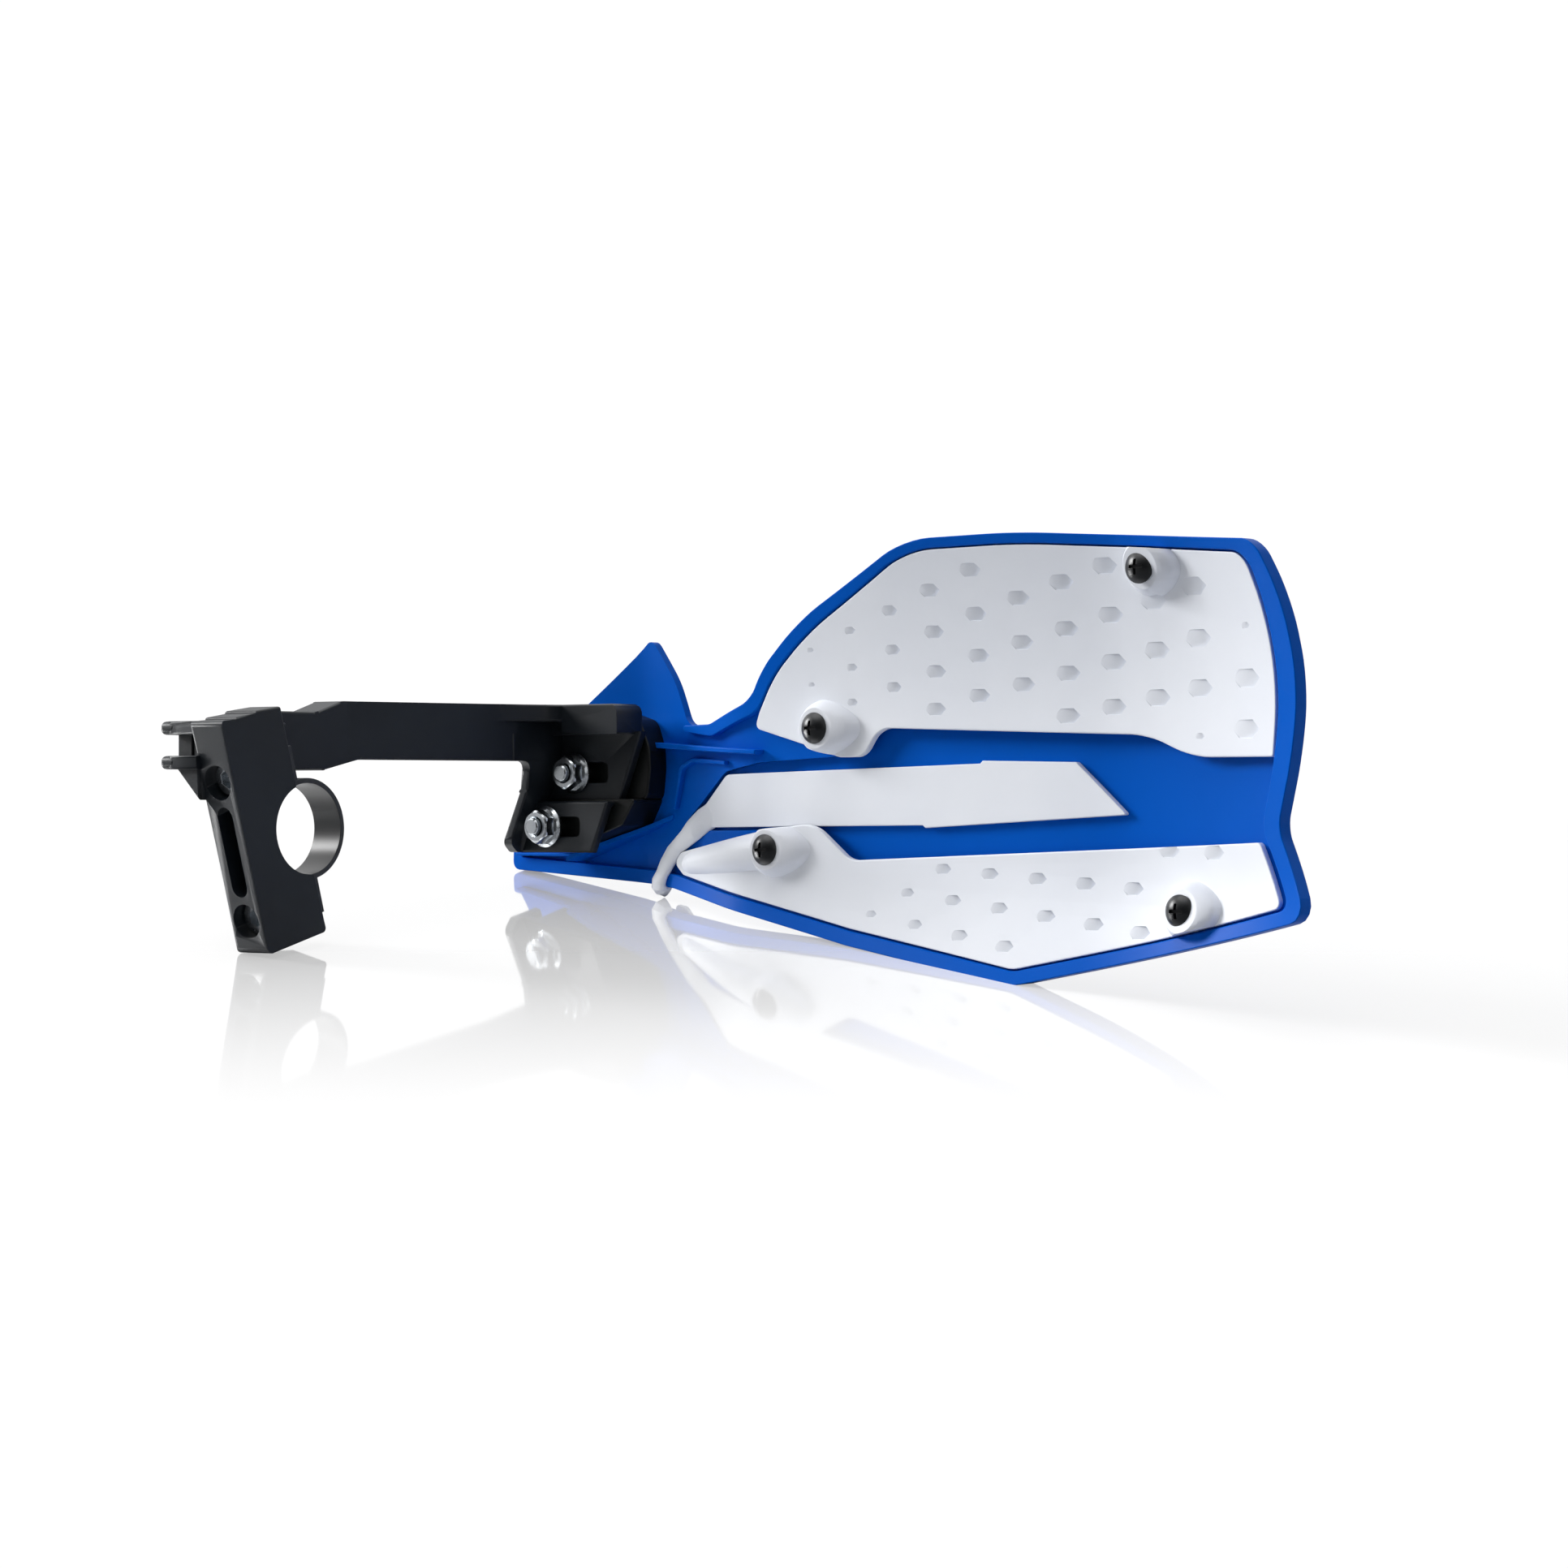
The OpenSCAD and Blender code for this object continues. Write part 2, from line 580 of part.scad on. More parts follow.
module shield_shell() {
    color([0.0, 0.3, 0.68]) difference() {
        union() {
            patch(0, shell_t) area(shell_outline);
            patch(-rim_h, sliver) difference() {
                rim_area();
                spacer_room();
            }
            patch(sliver, channel_depth + shell_t) trim_room(shell_t);
            inner_patch(-4.5, sliver) difference() {
                rib_lines();
                spacer_room();
            }
            inner_patch(-2, sliver) fine_rib_lines();
            for (p = all_screws)
                drum(p, post_d / 2, shell_y(p) - boss_h + boss_roof + fit, shell_y(p) + shell_t / 2);
        }
        patch(-1, channel_depth) trim_room(0);
        for (p = all_screws)
            drum(p, screw_d / 2, shell_y(p) - 20, shell_y(p) - boss_h + screw_l + 0.3);
        for (p = [upper_bolt, lower_bolt])
            drum(p, bolt_hole_d / 2, seat_y - 12, seat_y + 12);
    }
}

// One hexagonal dimple, sunk deeper at its lower outer edge
module dimple(x, z, af) {
    translate([x * wide, shell_y(spot(x, z)) - panel_t - fit, z * tall])
        rotate([12, 0, 14])
            rotate([90, 0, 0]) rotate([0, 0, 30])
                translate([0, 0, -dimple_depth]) cylinder(d = af / cos(30), h = 6, $fn = 6);
}
function dimple_size(x) = 2.6 + (x - 112) * 0.019;

upper_rows = [[3, 4], [2, 4], [2, 4], [1, 4], [1, 4], [1, 3], [0, 3], [0, 3], [0, 2], [-1, 2], [-1, 1]];
function upper_x(i, m) = 112.5 + 17.5 * i + (m - 2) * 0.8;
function upper_z(x, m) =
    29.5 + 11.3 * m + 0.25 * m * m + (x - 182.5) * (0.139 + 0.034 * m + (x < 182.5 ? 0.05 : 0));
lower_rows = [[2, 2], [1, 2], [0, 2], [0, 2], [0, 1], [0, 1], [0, 1], [-1, 0], [-1, 0]];
function lower_x(i, n) = 185.6 + 18.6 * (i - 3) + 4.9 * n;
function lower_z(x, n) = -13.9 - 9.6 * n - 0.3 * n * n - (0.07 + 0.045 * n) * (x - 186);

module panel_boss(p) {
    translate([p[0], shell_y(p) + 3, p[1]]) rotate([90, 0, 0])
        cylinder(d1 = boss_base_d, d2 = boss_top_d, h = boss_h + 3);
}
module boss_core(p) {
    drum(p, post_d / 2 + panel_gap, shell_y(p) - boss_h + boss_roof, shell_y(p) + 10);
    drum(p, screw_d / 2 + fit, shell_y(p) - boss_h - 5, shell_y(p) + 10);
}

module upper_panel() {
    color([0.92, 0.93, 0.94]) difference() {
        union() {
            patch(-panel_t - fit, -fit) difference() {
                area(upper_outline);
                rim_area(panel_gap);
            }
            intersection() {
                union() {
                    panel_boss(upper_inner_screw);
                    panel_boss(upper_outer_screw);
                }
                patch(-20, -fit) difference() {
                    area(upper_outline);
                    rim_area(panel_gap);
                }
            }
        }
        boss_core(upper_inner_screw);
        boss_core(upper_outer_screw);
        for (i = [0:len(upper_rows) - 1])
            for (m = [upper_rows[i][0]:upper_rows[i][1]])
                dimple(upper_x(i, m), upper_z(upper_x(i, m), m), dimple_size(upper_x(i, m)));
    }
}

// Long round-backed fairing from the panel's inner tip up to its screw
module fairing() {
    p = lower_inner_screw;
    tip = spot(52, -12);
    run_l = norm(p - tip);
    rise = atan2(p[1] - tip[1], p[0] - tip[0]);
    translate([tip[0], shell_y(tip) - 1.2, tip[1]])
        rotate([0, -rise, atan2(shell_y(p) - shell_y(tip) - 1.6, run_l)])
            rotate([0, 90, 0]) cylinder(r1 = 3.8, r2 = 6.2, h = run_l);
}

module lower_panel() {
    color([0.92, 0.93, 0.94]) difference() {
        union() {
            patch(-panel_t - fit, -fit) difference() {
                area(lower_outline);
                rim_area(panel_gap);
            }
            intersection() {
                union() {
                    panel_boss(lower_inner_screw);
                    panel_boss(lower_outer_screw);
                    fairing();
                }
                patch(-20, -fit) difference() {
                    area(lower_outline);
                    rim_area(panel_gap);
                }
            }
        }
        boss_core(lower_inner_screw);
        boss_core(lower_outer_screw);
        drum(lower_inner_screw, screw_head_d / 2 + panel_gap, shell_y(lower_inner_screw) - 30,
            shell_y(lower_inner_screw) - boss_h);
        for (i = [0:len(lower_rows) - 1])
            for (n = [lower_rows[i][0]:lower_rows[i][1]])
                dimple(lower_x(i, n), lower_z(lower_x(i, n), n), dimple_size(lower_x(i, n)));
    }
}

// Blade in front, strip in the channel behind, and the tail that wraps the rim
module trim_blade() {
    front = channel_depth + shell_t + fit;
    back = rim_h + fit;
    bar = channel_depth - fit;
    color([0.93, 0.94, 0.95]) union() {
        patch(bar - trim_t, bar) area(strip_outline);
        inner_patch(-fit - trim_t, bar) area(tail_root);
        inner_patch(-fit - trim_t, -fit) difference() {
            intersection() {
                area(tail_outline);
                area(inset(shell_outline, rim_w + fit));
            }
            area([[56, 4, 0], [62, -4, 0], [80, 0, 0], [80, 20, 0]]);
        }
        inner_patch(-back - trim_t, -fit) intersection() {
            area(tail_outline);
            difference() {
                area(inset(shell_outline, rim_w + fit));
                area(inset(shell_outline, rim_w + fit + trim_t));
            }
        }
        inner_patch(-back - trim_t, -back) intersection() {
            area(tail_outline);
            difference() {
                area(inset(shell_outline, -fit - sliver));
                area(inset(shell_outline, rim_w + fit + sliver));
            }
        }
        inner_patch(-back - trim_t, front + trim_t) difference() {
            area(tail_outline);
            area(inset(shell_outline, -fit));
        }
        patch(front, front + trim_t) area(blade_outline);
    }
}

module shield_washer(p) {
    back = seat_y + shell_t;
    color([0.7, 0.71, 0.72]) difference() {
        drum(p, bolt_d, back, back + 1.2);
        drum(p, bolt_hole_d / 2, back - 1, back + 3);
    }
}
// Domed head of a bolt or screw, its flat face on the plane y and its dome turned back or forward
module domed_head(p, y, d, h, side) {
    r = (d * d / 4 + h * h) / (2 * h) + 0.6;
    translate([p[0], y, p[1]]) rotate([side * -90, 0, 0]) rotate_extrude() intersection() {
        translate([0, h - r]) circle(r = r);
        square([d / 2, h]);
    }
}
module shield_bolt(p, pad) {
    seat = seat_y + shell_t + 1.2;
    color([0.7, 0.71, 0.72]) difference() {
        union() {
            domed_head(p, seat, 10.6, 3.3, 1);
            drum(p, bolt_d / 2, pad - 11.2, seat + 1);
        }
        hexagon_bar(p, 4, seat + 1.4, seat + 4);
    }
}
module flange_nut(p, pad) {
    color([0.78, 0.79, 0.8]) difference() {
        union() {
            drum(p, nut_flange_d / 2, pad - 1.2, pad);
            translate([p[0], pad - 1.2, p[1]]) rotate([90, 0, 0])
                cylinder(r1 = nut_flange_d / 2, r2 = nut_af / 2 + 0.4, h = 1);
            hexagon_bar(p, nut_af, pad - 6, pad - 1);
        }
        drum(p, bolt_d / 2, pad - 8, pad + 1);
    }
}

module panel_screw(p) {
    seat = shell_y(p) - boss_h;
    color([0.08, 0.08, 0.09]) difference() {
        union() {
            domed_head(p, seat, screw_head_d, screw_head_h, -1);
            drum(p, screw_d / 2, seat - 1, seat + screw_l);
        }
        for (turn = [0, 90])
            translate([p[0], seat - screw_head_h, p[1]]) rotate([0, turn, 0])
                cube([4.6, 2.6, 1], center = true);
    }
}

mount_arm();
clamp_strap();
clamp_bolt(1);  // clamp_bolt_upper
clamp_bolt(-1);  // clamp_bolt_lower
clamp_nut(1);  // clamp_nut_upper
clamp_nut(-1);  // clamp_nut_lower
spacer_block();
shield_shell();
upper_panel();
lower_panel();
trim_blade();
shield_bolt(upper_bolt, pad_y);  // shield_bolt_upper
shield_bolt(lower_bolt, low_pad_y);  // shield_bolt_lower
shield_washer(upper_bolt);  // shield_washer_upper
shield_washer(lower_bolt);  // shield_washer_lower
flange_nut(upper_bolt, pad_y);  // flange_nut_upper
flange_nut(lower_bolt, low_pad_y);  // flange_nut_lower
panel_screw(upper_inner_screw);  // panel_screw_upper_inner
panel_screw(upper_outer_screw);  // panel_screw_upper_outer
panel_screw(lower_inner_screw);  // panel_screw_lower_inner
panel_screw(lower_outer_screw);  // panel_screw_lower_outer
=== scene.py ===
import math

import bmesh
import bpy
from bpy.props import FloatProperty, FloatVectorProperty, PointerProperty
from bpy.types import Operator, Panel, PropertyGroup
from mathutils import Matrix, Vector


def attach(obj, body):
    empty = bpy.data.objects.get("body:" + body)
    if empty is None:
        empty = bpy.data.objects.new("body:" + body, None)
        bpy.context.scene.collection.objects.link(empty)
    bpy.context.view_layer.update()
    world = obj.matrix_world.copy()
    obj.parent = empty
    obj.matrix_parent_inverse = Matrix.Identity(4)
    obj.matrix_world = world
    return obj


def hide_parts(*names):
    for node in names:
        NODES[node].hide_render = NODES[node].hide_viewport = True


bl_info = {
    "name": "Motorcycle hand guard",
    "version": (1, 0, 0),
    "blender": (4, 5, 0),
    "location": "3D View > Sidebar > Hand guard",
    "description": "Builds the looks of a right-hand motorcycle hand guard on its packed frame",
    "category": "Object",
}

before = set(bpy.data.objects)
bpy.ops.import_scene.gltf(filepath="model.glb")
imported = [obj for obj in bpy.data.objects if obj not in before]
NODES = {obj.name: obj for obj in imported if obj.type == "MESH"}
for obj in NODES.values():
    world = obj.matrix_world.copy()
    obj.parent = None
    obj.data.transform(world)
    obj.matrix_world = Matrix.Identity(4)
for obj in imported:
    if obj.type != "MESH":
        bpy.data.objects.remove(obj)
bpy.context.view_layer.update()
MM = 0.001

# Shapes are in millimetres. On the shield, a height is counted from the shell's rear face towards
# the rider, so it is a negative y.

# Plan of the shield's rear face: seat, ramp, main run and outer bend. Its curl below and above.
SEAT_Y, SEAT_END = 133.0, 26.0
RAMP, MAIN = math.radians(13.0), math.radians(1.48)
SEAT_R, RAMP_R, OUTER_R, RAMP_L = 40.0, 60.0, 220.0, 40.0
MAIN_END = 225.0
LOW_Z, LOW_R, HIGH_Z, HIGH_R = -7.0, 75.0, 30.0, 150.0

SEAT_C = (SEAT_END, SEAT_Y - SEAT_R)
RAMP_0 = (SEAT_C[0] + SEAT_R * math.sin(RAMP), SEAT_C[1] + SEAT_R * math.cos(RAMP))
RAMP_1 = (RAMP_0[0] + RAMP_L * math.cos(RAMP), RAMP_0[1] - RAMP_L * math.sin(RAMP))
RAMP_C = (RAMP_1[0] + RAMP_R * math.sin(RAMP), RAMP_1[1] + RAMP_R * math.cos(RAMP))
MAIN_0 = (RAMP_C[0] - RAMP_R * math.sin(MAIN), RAMP_C[1] - RAMP_R * math.cos(MAIN))
MAIN_1 = (MAIN_END, MAIN_0[1] - math.tan(MAIN) * (MAIN_END - MAIN_0[0]))
OUTER_C = (MAIN_1[0] - OUTER_R * math.sin(MAIN), MAIN_1[1] - OUTER_R * math.cos(MAIN))


def plan_y(x):
    """Forward position of the shield's rear face along the handlebar."""
    if x < SEAT_END:
        return SEAT_Y
    if x < RAMP_0[0]:
        return SEAT_C[1] + math.sqrt(SEAT_R**2 - (x - SEAT_C[0]) ** 2)
    if x < RAMP_1[0]:
        return RAMP_0[1] - math.tan(RAMP) * (x - RAMP_0[0])
    if x < MAIN_0[0]:
        return RAMP_C[1] - math.sqrt(RAMP_R**2 - (x - RAMP_C[0]) ** 2)
    if x < MAIN_1[0]:
        return MAIN_0[1] - math.tan(MAIN) * (x - MAIN_0[0])
    return OUTER_C[1] + math.sqrt(OUTER_R**2 - (x - OUTER_C[0]) ** 2)


def curl(z):
    """How far the shield curls back towards the rider at a height."""
    if z < LOW_Z:
        return math.sqrt(LOW_R**2 - (z - LOW_Z) ** 2) - LOW_R
    if z > HIGH_Z:
        return math.sqrt(HIGH_R**2 - (z - HIGH_Z) ** 2) - HIGH_R
    return 0.0


def shell_y(x, z):
    """Forward position of the shell's rear face at any place."""
    return plan_y(x) + curl(z)


# Outlines seen from behind: x, z and corner radius.
SHELL = [
    (-29.5, -14.4, 3), (36, -18.8, 0), (48, -20.1, 0), (131.6, -36.8, 0), (201, -47.8, 14),
    (253.4, -37.8, 0), (317, -25.5, 5), (302, 0.5, 9), (309, 22, 90), (311.8, 42, 120),
    (307.5, 66, 90), (299, 83.4, 9), (250, 86.8, 400), (204, 89.7, 300), (160, 89.2, 48),
    (110, 65.5, 160), (92.5, 51, 60), (86.5, 41, 12), (66, 33.6, 8), (52, 33.4, 5),
    (46, 48, 30), (35.5, 62.5, 3), (3.2, 41.4, 0), (-5, 28, 10), (-29.5, -7, 3),
]
# The rim's inner side, from the tongue's end round to the fin's foot.
RIM_INNER = [
    (-25.8, -10.2, 2), (36, -14.3, 0), (48, -15.6, 0), (131.6, -32.3, 0), (201, -43.3, 12),
    (253.4, -33.4, 0), (308.5, -22.6, 3), (294.5, 0.5, 9), (300.8, 22, 90), (303, 42, 120),
    (299.5, 64, 90), (294.4, 80.2, 9), (250, 83.7, 400), (204, 86.6, 300), (159.7, 86.1, 44),
    (112.6, 61.8, 160), (96.4, 48.4, 60), (89.8, 37.4, 10), (67, 29.6, 8), (51.8, 31.4, 1),
]
RIM = [(-29.5, -7.0, 1)] + SHELL[:20] + RIM_INNER[::-1] + [(-25.6, -7.0, 1)]
UPPER = [
    (88.2, 32, 2), (112, 25.8, 0), (124, 22.4, 4), (134, 22.4, 6), (140.5, 31.4, 8),
    (196, 29.6, 0), (246, 28, 40), (264, 21.2, 40), (299.6, 21, 1), (301.6, 42, 120),
    (298.6, 63, 90), (293, 79.7, 7), (248, 83.3, 400), (204, 86.2, 300), (160.1, 85.7, 42),
    (113, 61.4, 160), (97, 48.2, 60), (90.2, 37, 8),
]
LOWER = [
    (52, -15.6, 2), (88, -22.8, 0), (131.6, -31.6, 0), (200.6, -42.7, 11), (253.4, -32.8, 0),
    (304.6, -22.4, 2), (293.4, -3.7, 2), (128.5, -10.2, 8), (113, 1.5, 12), (94, -0.5, 6),
    (50, -8.2, 3), (47, -12, 2),
]
CHANNEL = [
    (51.2, 2, 1), (57, -4.6, 1), (63.6, -1, 1), (90, -0.7, 8), (131, -11.8, 16),
    (292.6, -5, 4), (300.4, 20, 4), (297, 22.4, 2), (266, 22.4, 30), (246, 29.5, 40), (196, 31, 0),
    (139.6, 32.8, 6), (132, 24, 6), (118, 22.5, 8), (88, 21, 10), (72, 18.2, 6),
]
STRIP = [
    (63.7, 0, 3), (156, 0.9, 0), (157, 0.1, 0), (235.7, 4.2, 0.5), (216.3, 20.2, 1),
    (180, 20.9, 0), (179, 20, 0), (72, 17.2, 4), (55, 2.6, 2), (60, -1.5, 0),
]
BLADE = [
    (38.0, -18.6, 2), (44.8, -19.8, 2), (64, -2, 12), (235.7, 3, 1), (216.3, 21.4, 1),
    (78, 19.4, 8), (52, 8, 12),
]
# Panel screws: x and z. A post of the shell stands under each.
SCREWS = {
    "upper_inner": (118.0, 31.6),
    "upper_outer": (253.0, 77.2),
    "lower_inner": (97.0, -7.0),
    "lower_outer": (264.8, -24.0),
}
POST_R, POST_LENGTH, POST_SUNK = 4.5, 6.0, 1.8
# Boss round a screw: height, share of its outer tail and share of its flare, from root to top.
BOSS_PROFILE = (
    (-0.8, 1.0, 1.0), (0.5, 0.98, 0.97), (1.2, 0.93, 0.9), (2.6, 0.86, 0.78), (4.4, 0.76, 0.6),
    (5.8, 0.56, 0.4), (6.8, 0.3, 0.2), (7.35, 0.08, 0.06), (7.5, 0.0, 0.0),
)
BOSS_R, BOSS_FLARE = 6.4, 3.2
BOSS_TAILS = {"upper_inner": 7.0, "upper_outer": 4.0, "lower_inner": 7.0, "lower_outer": 5.0}
# Fairing from the lower panel's tip into its inner boss: share of the way and radius there.
FAIRING_TIP, FAIRING_END = (51.5, 0.0, -12.0), (96.0, 0.0, -7.0)
FAIRING = ((0, 2.2), (0.03, 3.2), (0.1, 4.2), (0.3, 5.0), (0.6, 5.8), (1, 6.6))

# Plates on the shield: height of the front face and of the face towards the rider.
WALL_H, RIM_H, PANEL_H = (-3.0, 0.0), (-3.04, 2.6), (0.2, 2.4)
FLOOR_H, CHANNEL_H = (-5.6, -2.6), (-5.4, -0.3)
STRIP_H, BLADE_H = (-2.4, -0.4), (-7.8, -5.8)
# The room over a panel that its bosses are kept to.
OVER_PANEL_H = (0.4, 12.0)
# The wall's sides stay this far inside the rim's, so that they don't lie on each other.
WALL_INSET = 0.1
# The channel's floor and its walls reach this far outside its opening.
CHANNEL_SKIN = 2.6
# Flat pieces are cut at this step before they are laid on the shield.
SLICE = 4.0

# Ribs near the bracket: outline and height.
RIBS = [
    ([(38, 26.2, 0), (90, 23.6, 0), (90, 25, 0), (38, 28, 0)], 4.5),
    ([(-26, -9.8, 0), (8, -9.8, 0), (8, -8.8, 0), (-26, -8.8, 0)], 5.0),
    ([(45.6, 6, 0), (46.8, 6, 0), (50.6, 19.2, 2), (56, 21.4, 3), (73.6, 20.4, 0), (73.6, 21.6, 0),
      (56, 22.8, 4), (49.4, 20.4, 2)], 2.0),
]
RIB_ROOT = -0.6
# Shelf under the bracket: tall beside the spacer and running out along the ramp. x and height.
SHELF = ((2.0, 10.0), (12.0, 9.6), (24.0, 6.6), (34.0, 3.4), (44.0, 0.4))
SHELF_X, SHELF_Z, SHELF_SLOPE = 5.0, -9.6, 0.335

# Dimples: first and last place in each slanting row, and how far they keep from a boss's middle.
UPPER_ROWS = (
    (3, 4), (2, 4), (2, 4), (1, 4), (1, 4), (1, 3), (0, 3), (0, 3), (0, 2), (-1, 2), (-1, 1),
)
LOWER_ROWS = ((2, 2), (1, 2), (0, 2), (0, 2), (0, 1), (0, 1), (0, 1), (-1, 0), (-1, 0))
DIMPLE_CLEAR = {"upper": 9.0, "lower": 13.0}
# A boss's middle is taken this far outward of its screw, because of its tail.
BOSS_MIDDLE = 2.0
DIMPLE_TURN = math.radians(-24)
# Dimples narrower than this are shallower in proportion.
FULL_DEPTH_SIZE = 5.0
# Rings of a dimple's tool: reach, and height over the panel, or None on the dimple's floor.
SCOOP_RINGS = (
    (0.04, None), (0.3, None), (0.55, None), (0.78, None), (0.95, None), (1.0, 0.3), (1.0, 2.0),
)

# The strip's tail over the lower rim: x, z, height, half width and half thickness along its run.
TAIL_RUN = (
    (64.0, 4.4, -1.4, 4.6, 1.0), (59.0, 2.0, -0.6, 4.5, 1.4), (55.2, -1.2, 1.0, 4.1, 1.8),
    (51.8, -3.8, 1.5, 3.3, 1.8), (48.2, -6.0, 1.6, 2.9, 1.8), (45.2, -8.6, 1.7, 3.3, 1.9),
    (43.0, -12.2, 2.6, 3.3, 1.9), (41.9, -15.4, 3.6, 2.9, 1.8), (40.7, -17.8, 3.8, 3.4, 1.9),
    (40.3, -19.5, 3.1, 3.7, 2.0), (40.3, -20.7, 1.6, 3.4, 1.6), (40.5, -20.9, -1.6, 2.8, 1.1),
)

# Fins beside the clamp block and the web between them: low corner, high corner and rounding.
BLOCK_FINS = (
    ((-22.6, -36.0, 18.5), (-15.0, 2.0, 22.7), 1.6),
    ((-22.6, -36.0, 29.2), (-15.0, 2.0, 33.4), 1.6),
    ((-19.6, -31.0, 20.0), (-13.0, 1.0, 31.0), 0.5),
)
# Only edges of the arm that are at least this long are rounded.
ARM_SHORTEST = 5.0
SPACER_BODY = [
    (-1.5, 8.9, 1), (38.3, 8.9, 3), (39.8, 19, 12), (39.4, 26, 8), (35.4, 35, 6), (24, 38.2, 4),
    (2, 38.2, 3), (2.6, 20, 0),
]
SPACER_FOOT = [
    (-8.0, -7.2, 1), (9, -7.2, 2), (32, 0.6, 3), (38.2, 9.4, 1), (-1.0, 9.4, 1), (-1.6, 6.2, 0),
]
# The spacer's heights are counted from the bore. In front of SPACER_FITS it follows the shell.
BODY_H, FOOT_H, SPACER_FITS = (-132.9, -122.7), (-132.9, -117.2), 128.0

# Pads under the flange nuts: x, z and y.
PADS = {"upper": (9.8, 18.0, 119.0), "lower": (2.2, 0.2, 113.4)}
# Nuts: height, radius and width across flats, 0 where they are round. The flange nut has a flat
# flange, a coned shoulder, a chamfered hexagon and a countersunk mouth.
FLANGE_NUT = (
    (0.0, 6.7, 0), (0.25, 6.9, 0), (1.0, 6.9, 0), (1.25, 6.6, 0), (1.9, 6.1, 0), (2.2, 5.77, 10.0),
    (5.2, 5.77, 10.0), (5.6, 5.4, 10.0), (6.0, 4.7, 10.0), (6.0, 3.5, 0), (5.5, 3.0, 0),
    (4.6, 2.9, 0),
)
CLAMP_NUT = (
    (0.0, 4.2, 8.2), (0.3, 4.5, 8.2), (0.8, 4.3, 8.2), (1.1, 3.8, 0), (1.25, 3.2, 0), (1.0, 2.8, 0),
)
CLAMP_NUT_Z = {"clamp_nut_upper": 22.3, "clamp_nut_lower": -22.3}
# The clamp leans by this about X. Its bolts end this far in front of the strap's ears.
CLAMP_LEAN, CLAMP_BOLT_END = math.radians(15.5), 1.1
# M6 thread of the shield bolts: first turn, half pitch, half turns, crest and root, and the tip.
THREAD_START, HALF_PITCH, HALF_TURNS = 2.8, 0.5, 10
CREST_R, ROOT_R, BOLT_TIP = 2.95, 2.55, ((7.6, 2.7), (7.9, 2.3))
# The CAD shank ends this far behind the pad, inside the nut, where the thread takes over.
SHANK_CUT = 3.0
# Small parts that keep their CAD form: start of the node's name, finish, slot, rounding and cut.
SMALL_PARTS = (
    ("panel_screw", "oxide", "black_screw", 0.2, None),
    ("clamp_bolt", "zinc", "zinc_bolt", 0.2, CLAMP_BOLT_END),
    ("shield_washer", "zinc", "zinc_nut", 0.15, None),
)

# Noise scales per metre: the melt's drift over 45 mm, stains of 4 mm and tool marks of 0.5 mm.
DRIFT_SCALE, STAIN_SCALE, MARK_SCALE = 22.0, 260.0, 1800.0

# Stage, in metres. The board's plane and the camera come from the photograph's perspective.
BOARD_NORMAL, BOARD_DROP, BOARD_REACH = (0.12, -0.1414, 0.9826), -0.0366, 150.0
VIEW = (-0.6435, 0.7655, 0.0051)
CAMERA_PLACE = (1.0018, -0.9532, 0.00692)
# The camera's right, up and back.
CAMERA_AXES = ((0.7655, 0.6435, -0.0009), (0.0039, -0.0033, 1.0), (0.6435, -0.7655, -0.0051))
FOCAL_PX, IMAGE_PX, SENSOR_MM = 5400.0, 1932.0, 36.0
# Large soft boxes as suns with wide discs: name, direction, width in degrees and power.
LAMPS = (
    ("overhead", (-0.10, -0.25, 1.0), 50.0, 1.4),
    ("camera_side", (1.00, -0.40, 0.35), 40.0, 0.3),
    ("left", (-1.00, -0.43, 0.46), 20.0, 3.0),
)
SMOOTH = {"interpolation_type": "SMOOTHSTEP"}


def linear(hex_colour):
    """An sRGB hex colour as the linear values that a shader takes."""
    out = []
    for i in (1, 3, 5):
        c = int(hex_colour[i : i + 2], 16) / 255
        out.append(c / 12.92 if c <= 0.04045 else ((c + 0.055) / 1.055) ** 2.4)
    return (*out, 1.0)


def add_node(tree, kind, settings=None, **inputs):
    """Adds a shader node with its settings, and its input values or links.

    An input goes by its place, as i0 or i1, or by its name with _ for a space.
    """
    node = tree.nodes.new(kind)
    for key, value in (settings or {}).items():
        setattr(node, key, value)
    for key, value in inputs.items():
        by_place = key[0] == "i" and key[1:].isdigit()
        socket = node.inputs[int(key[1:]) if by_place else key.replace("_", " ")]
        if isinstance(value, bpy.types.NodeSocket):
            tree.links.new(value, socket)
        else:
            socket.default_value = value
    return node


def empty_tree(block):
    """The cleared node tree of a material or a world."""
    block.use_nodes = True
    block.node_tree.nodes.clear()
    return block.node_tree


def new_material(name):
    """A material with only its shader and its output."""
    material = bpy.data.materials.new(name)
    tree = empty_tree(material)
    shader = add_node(tree, "ShaderNodeBsdfPrincipled")
    add_node(tree, "ShaderNodeOutputMaterial", i0=shader.outputs[0])
    return material, tree, shader


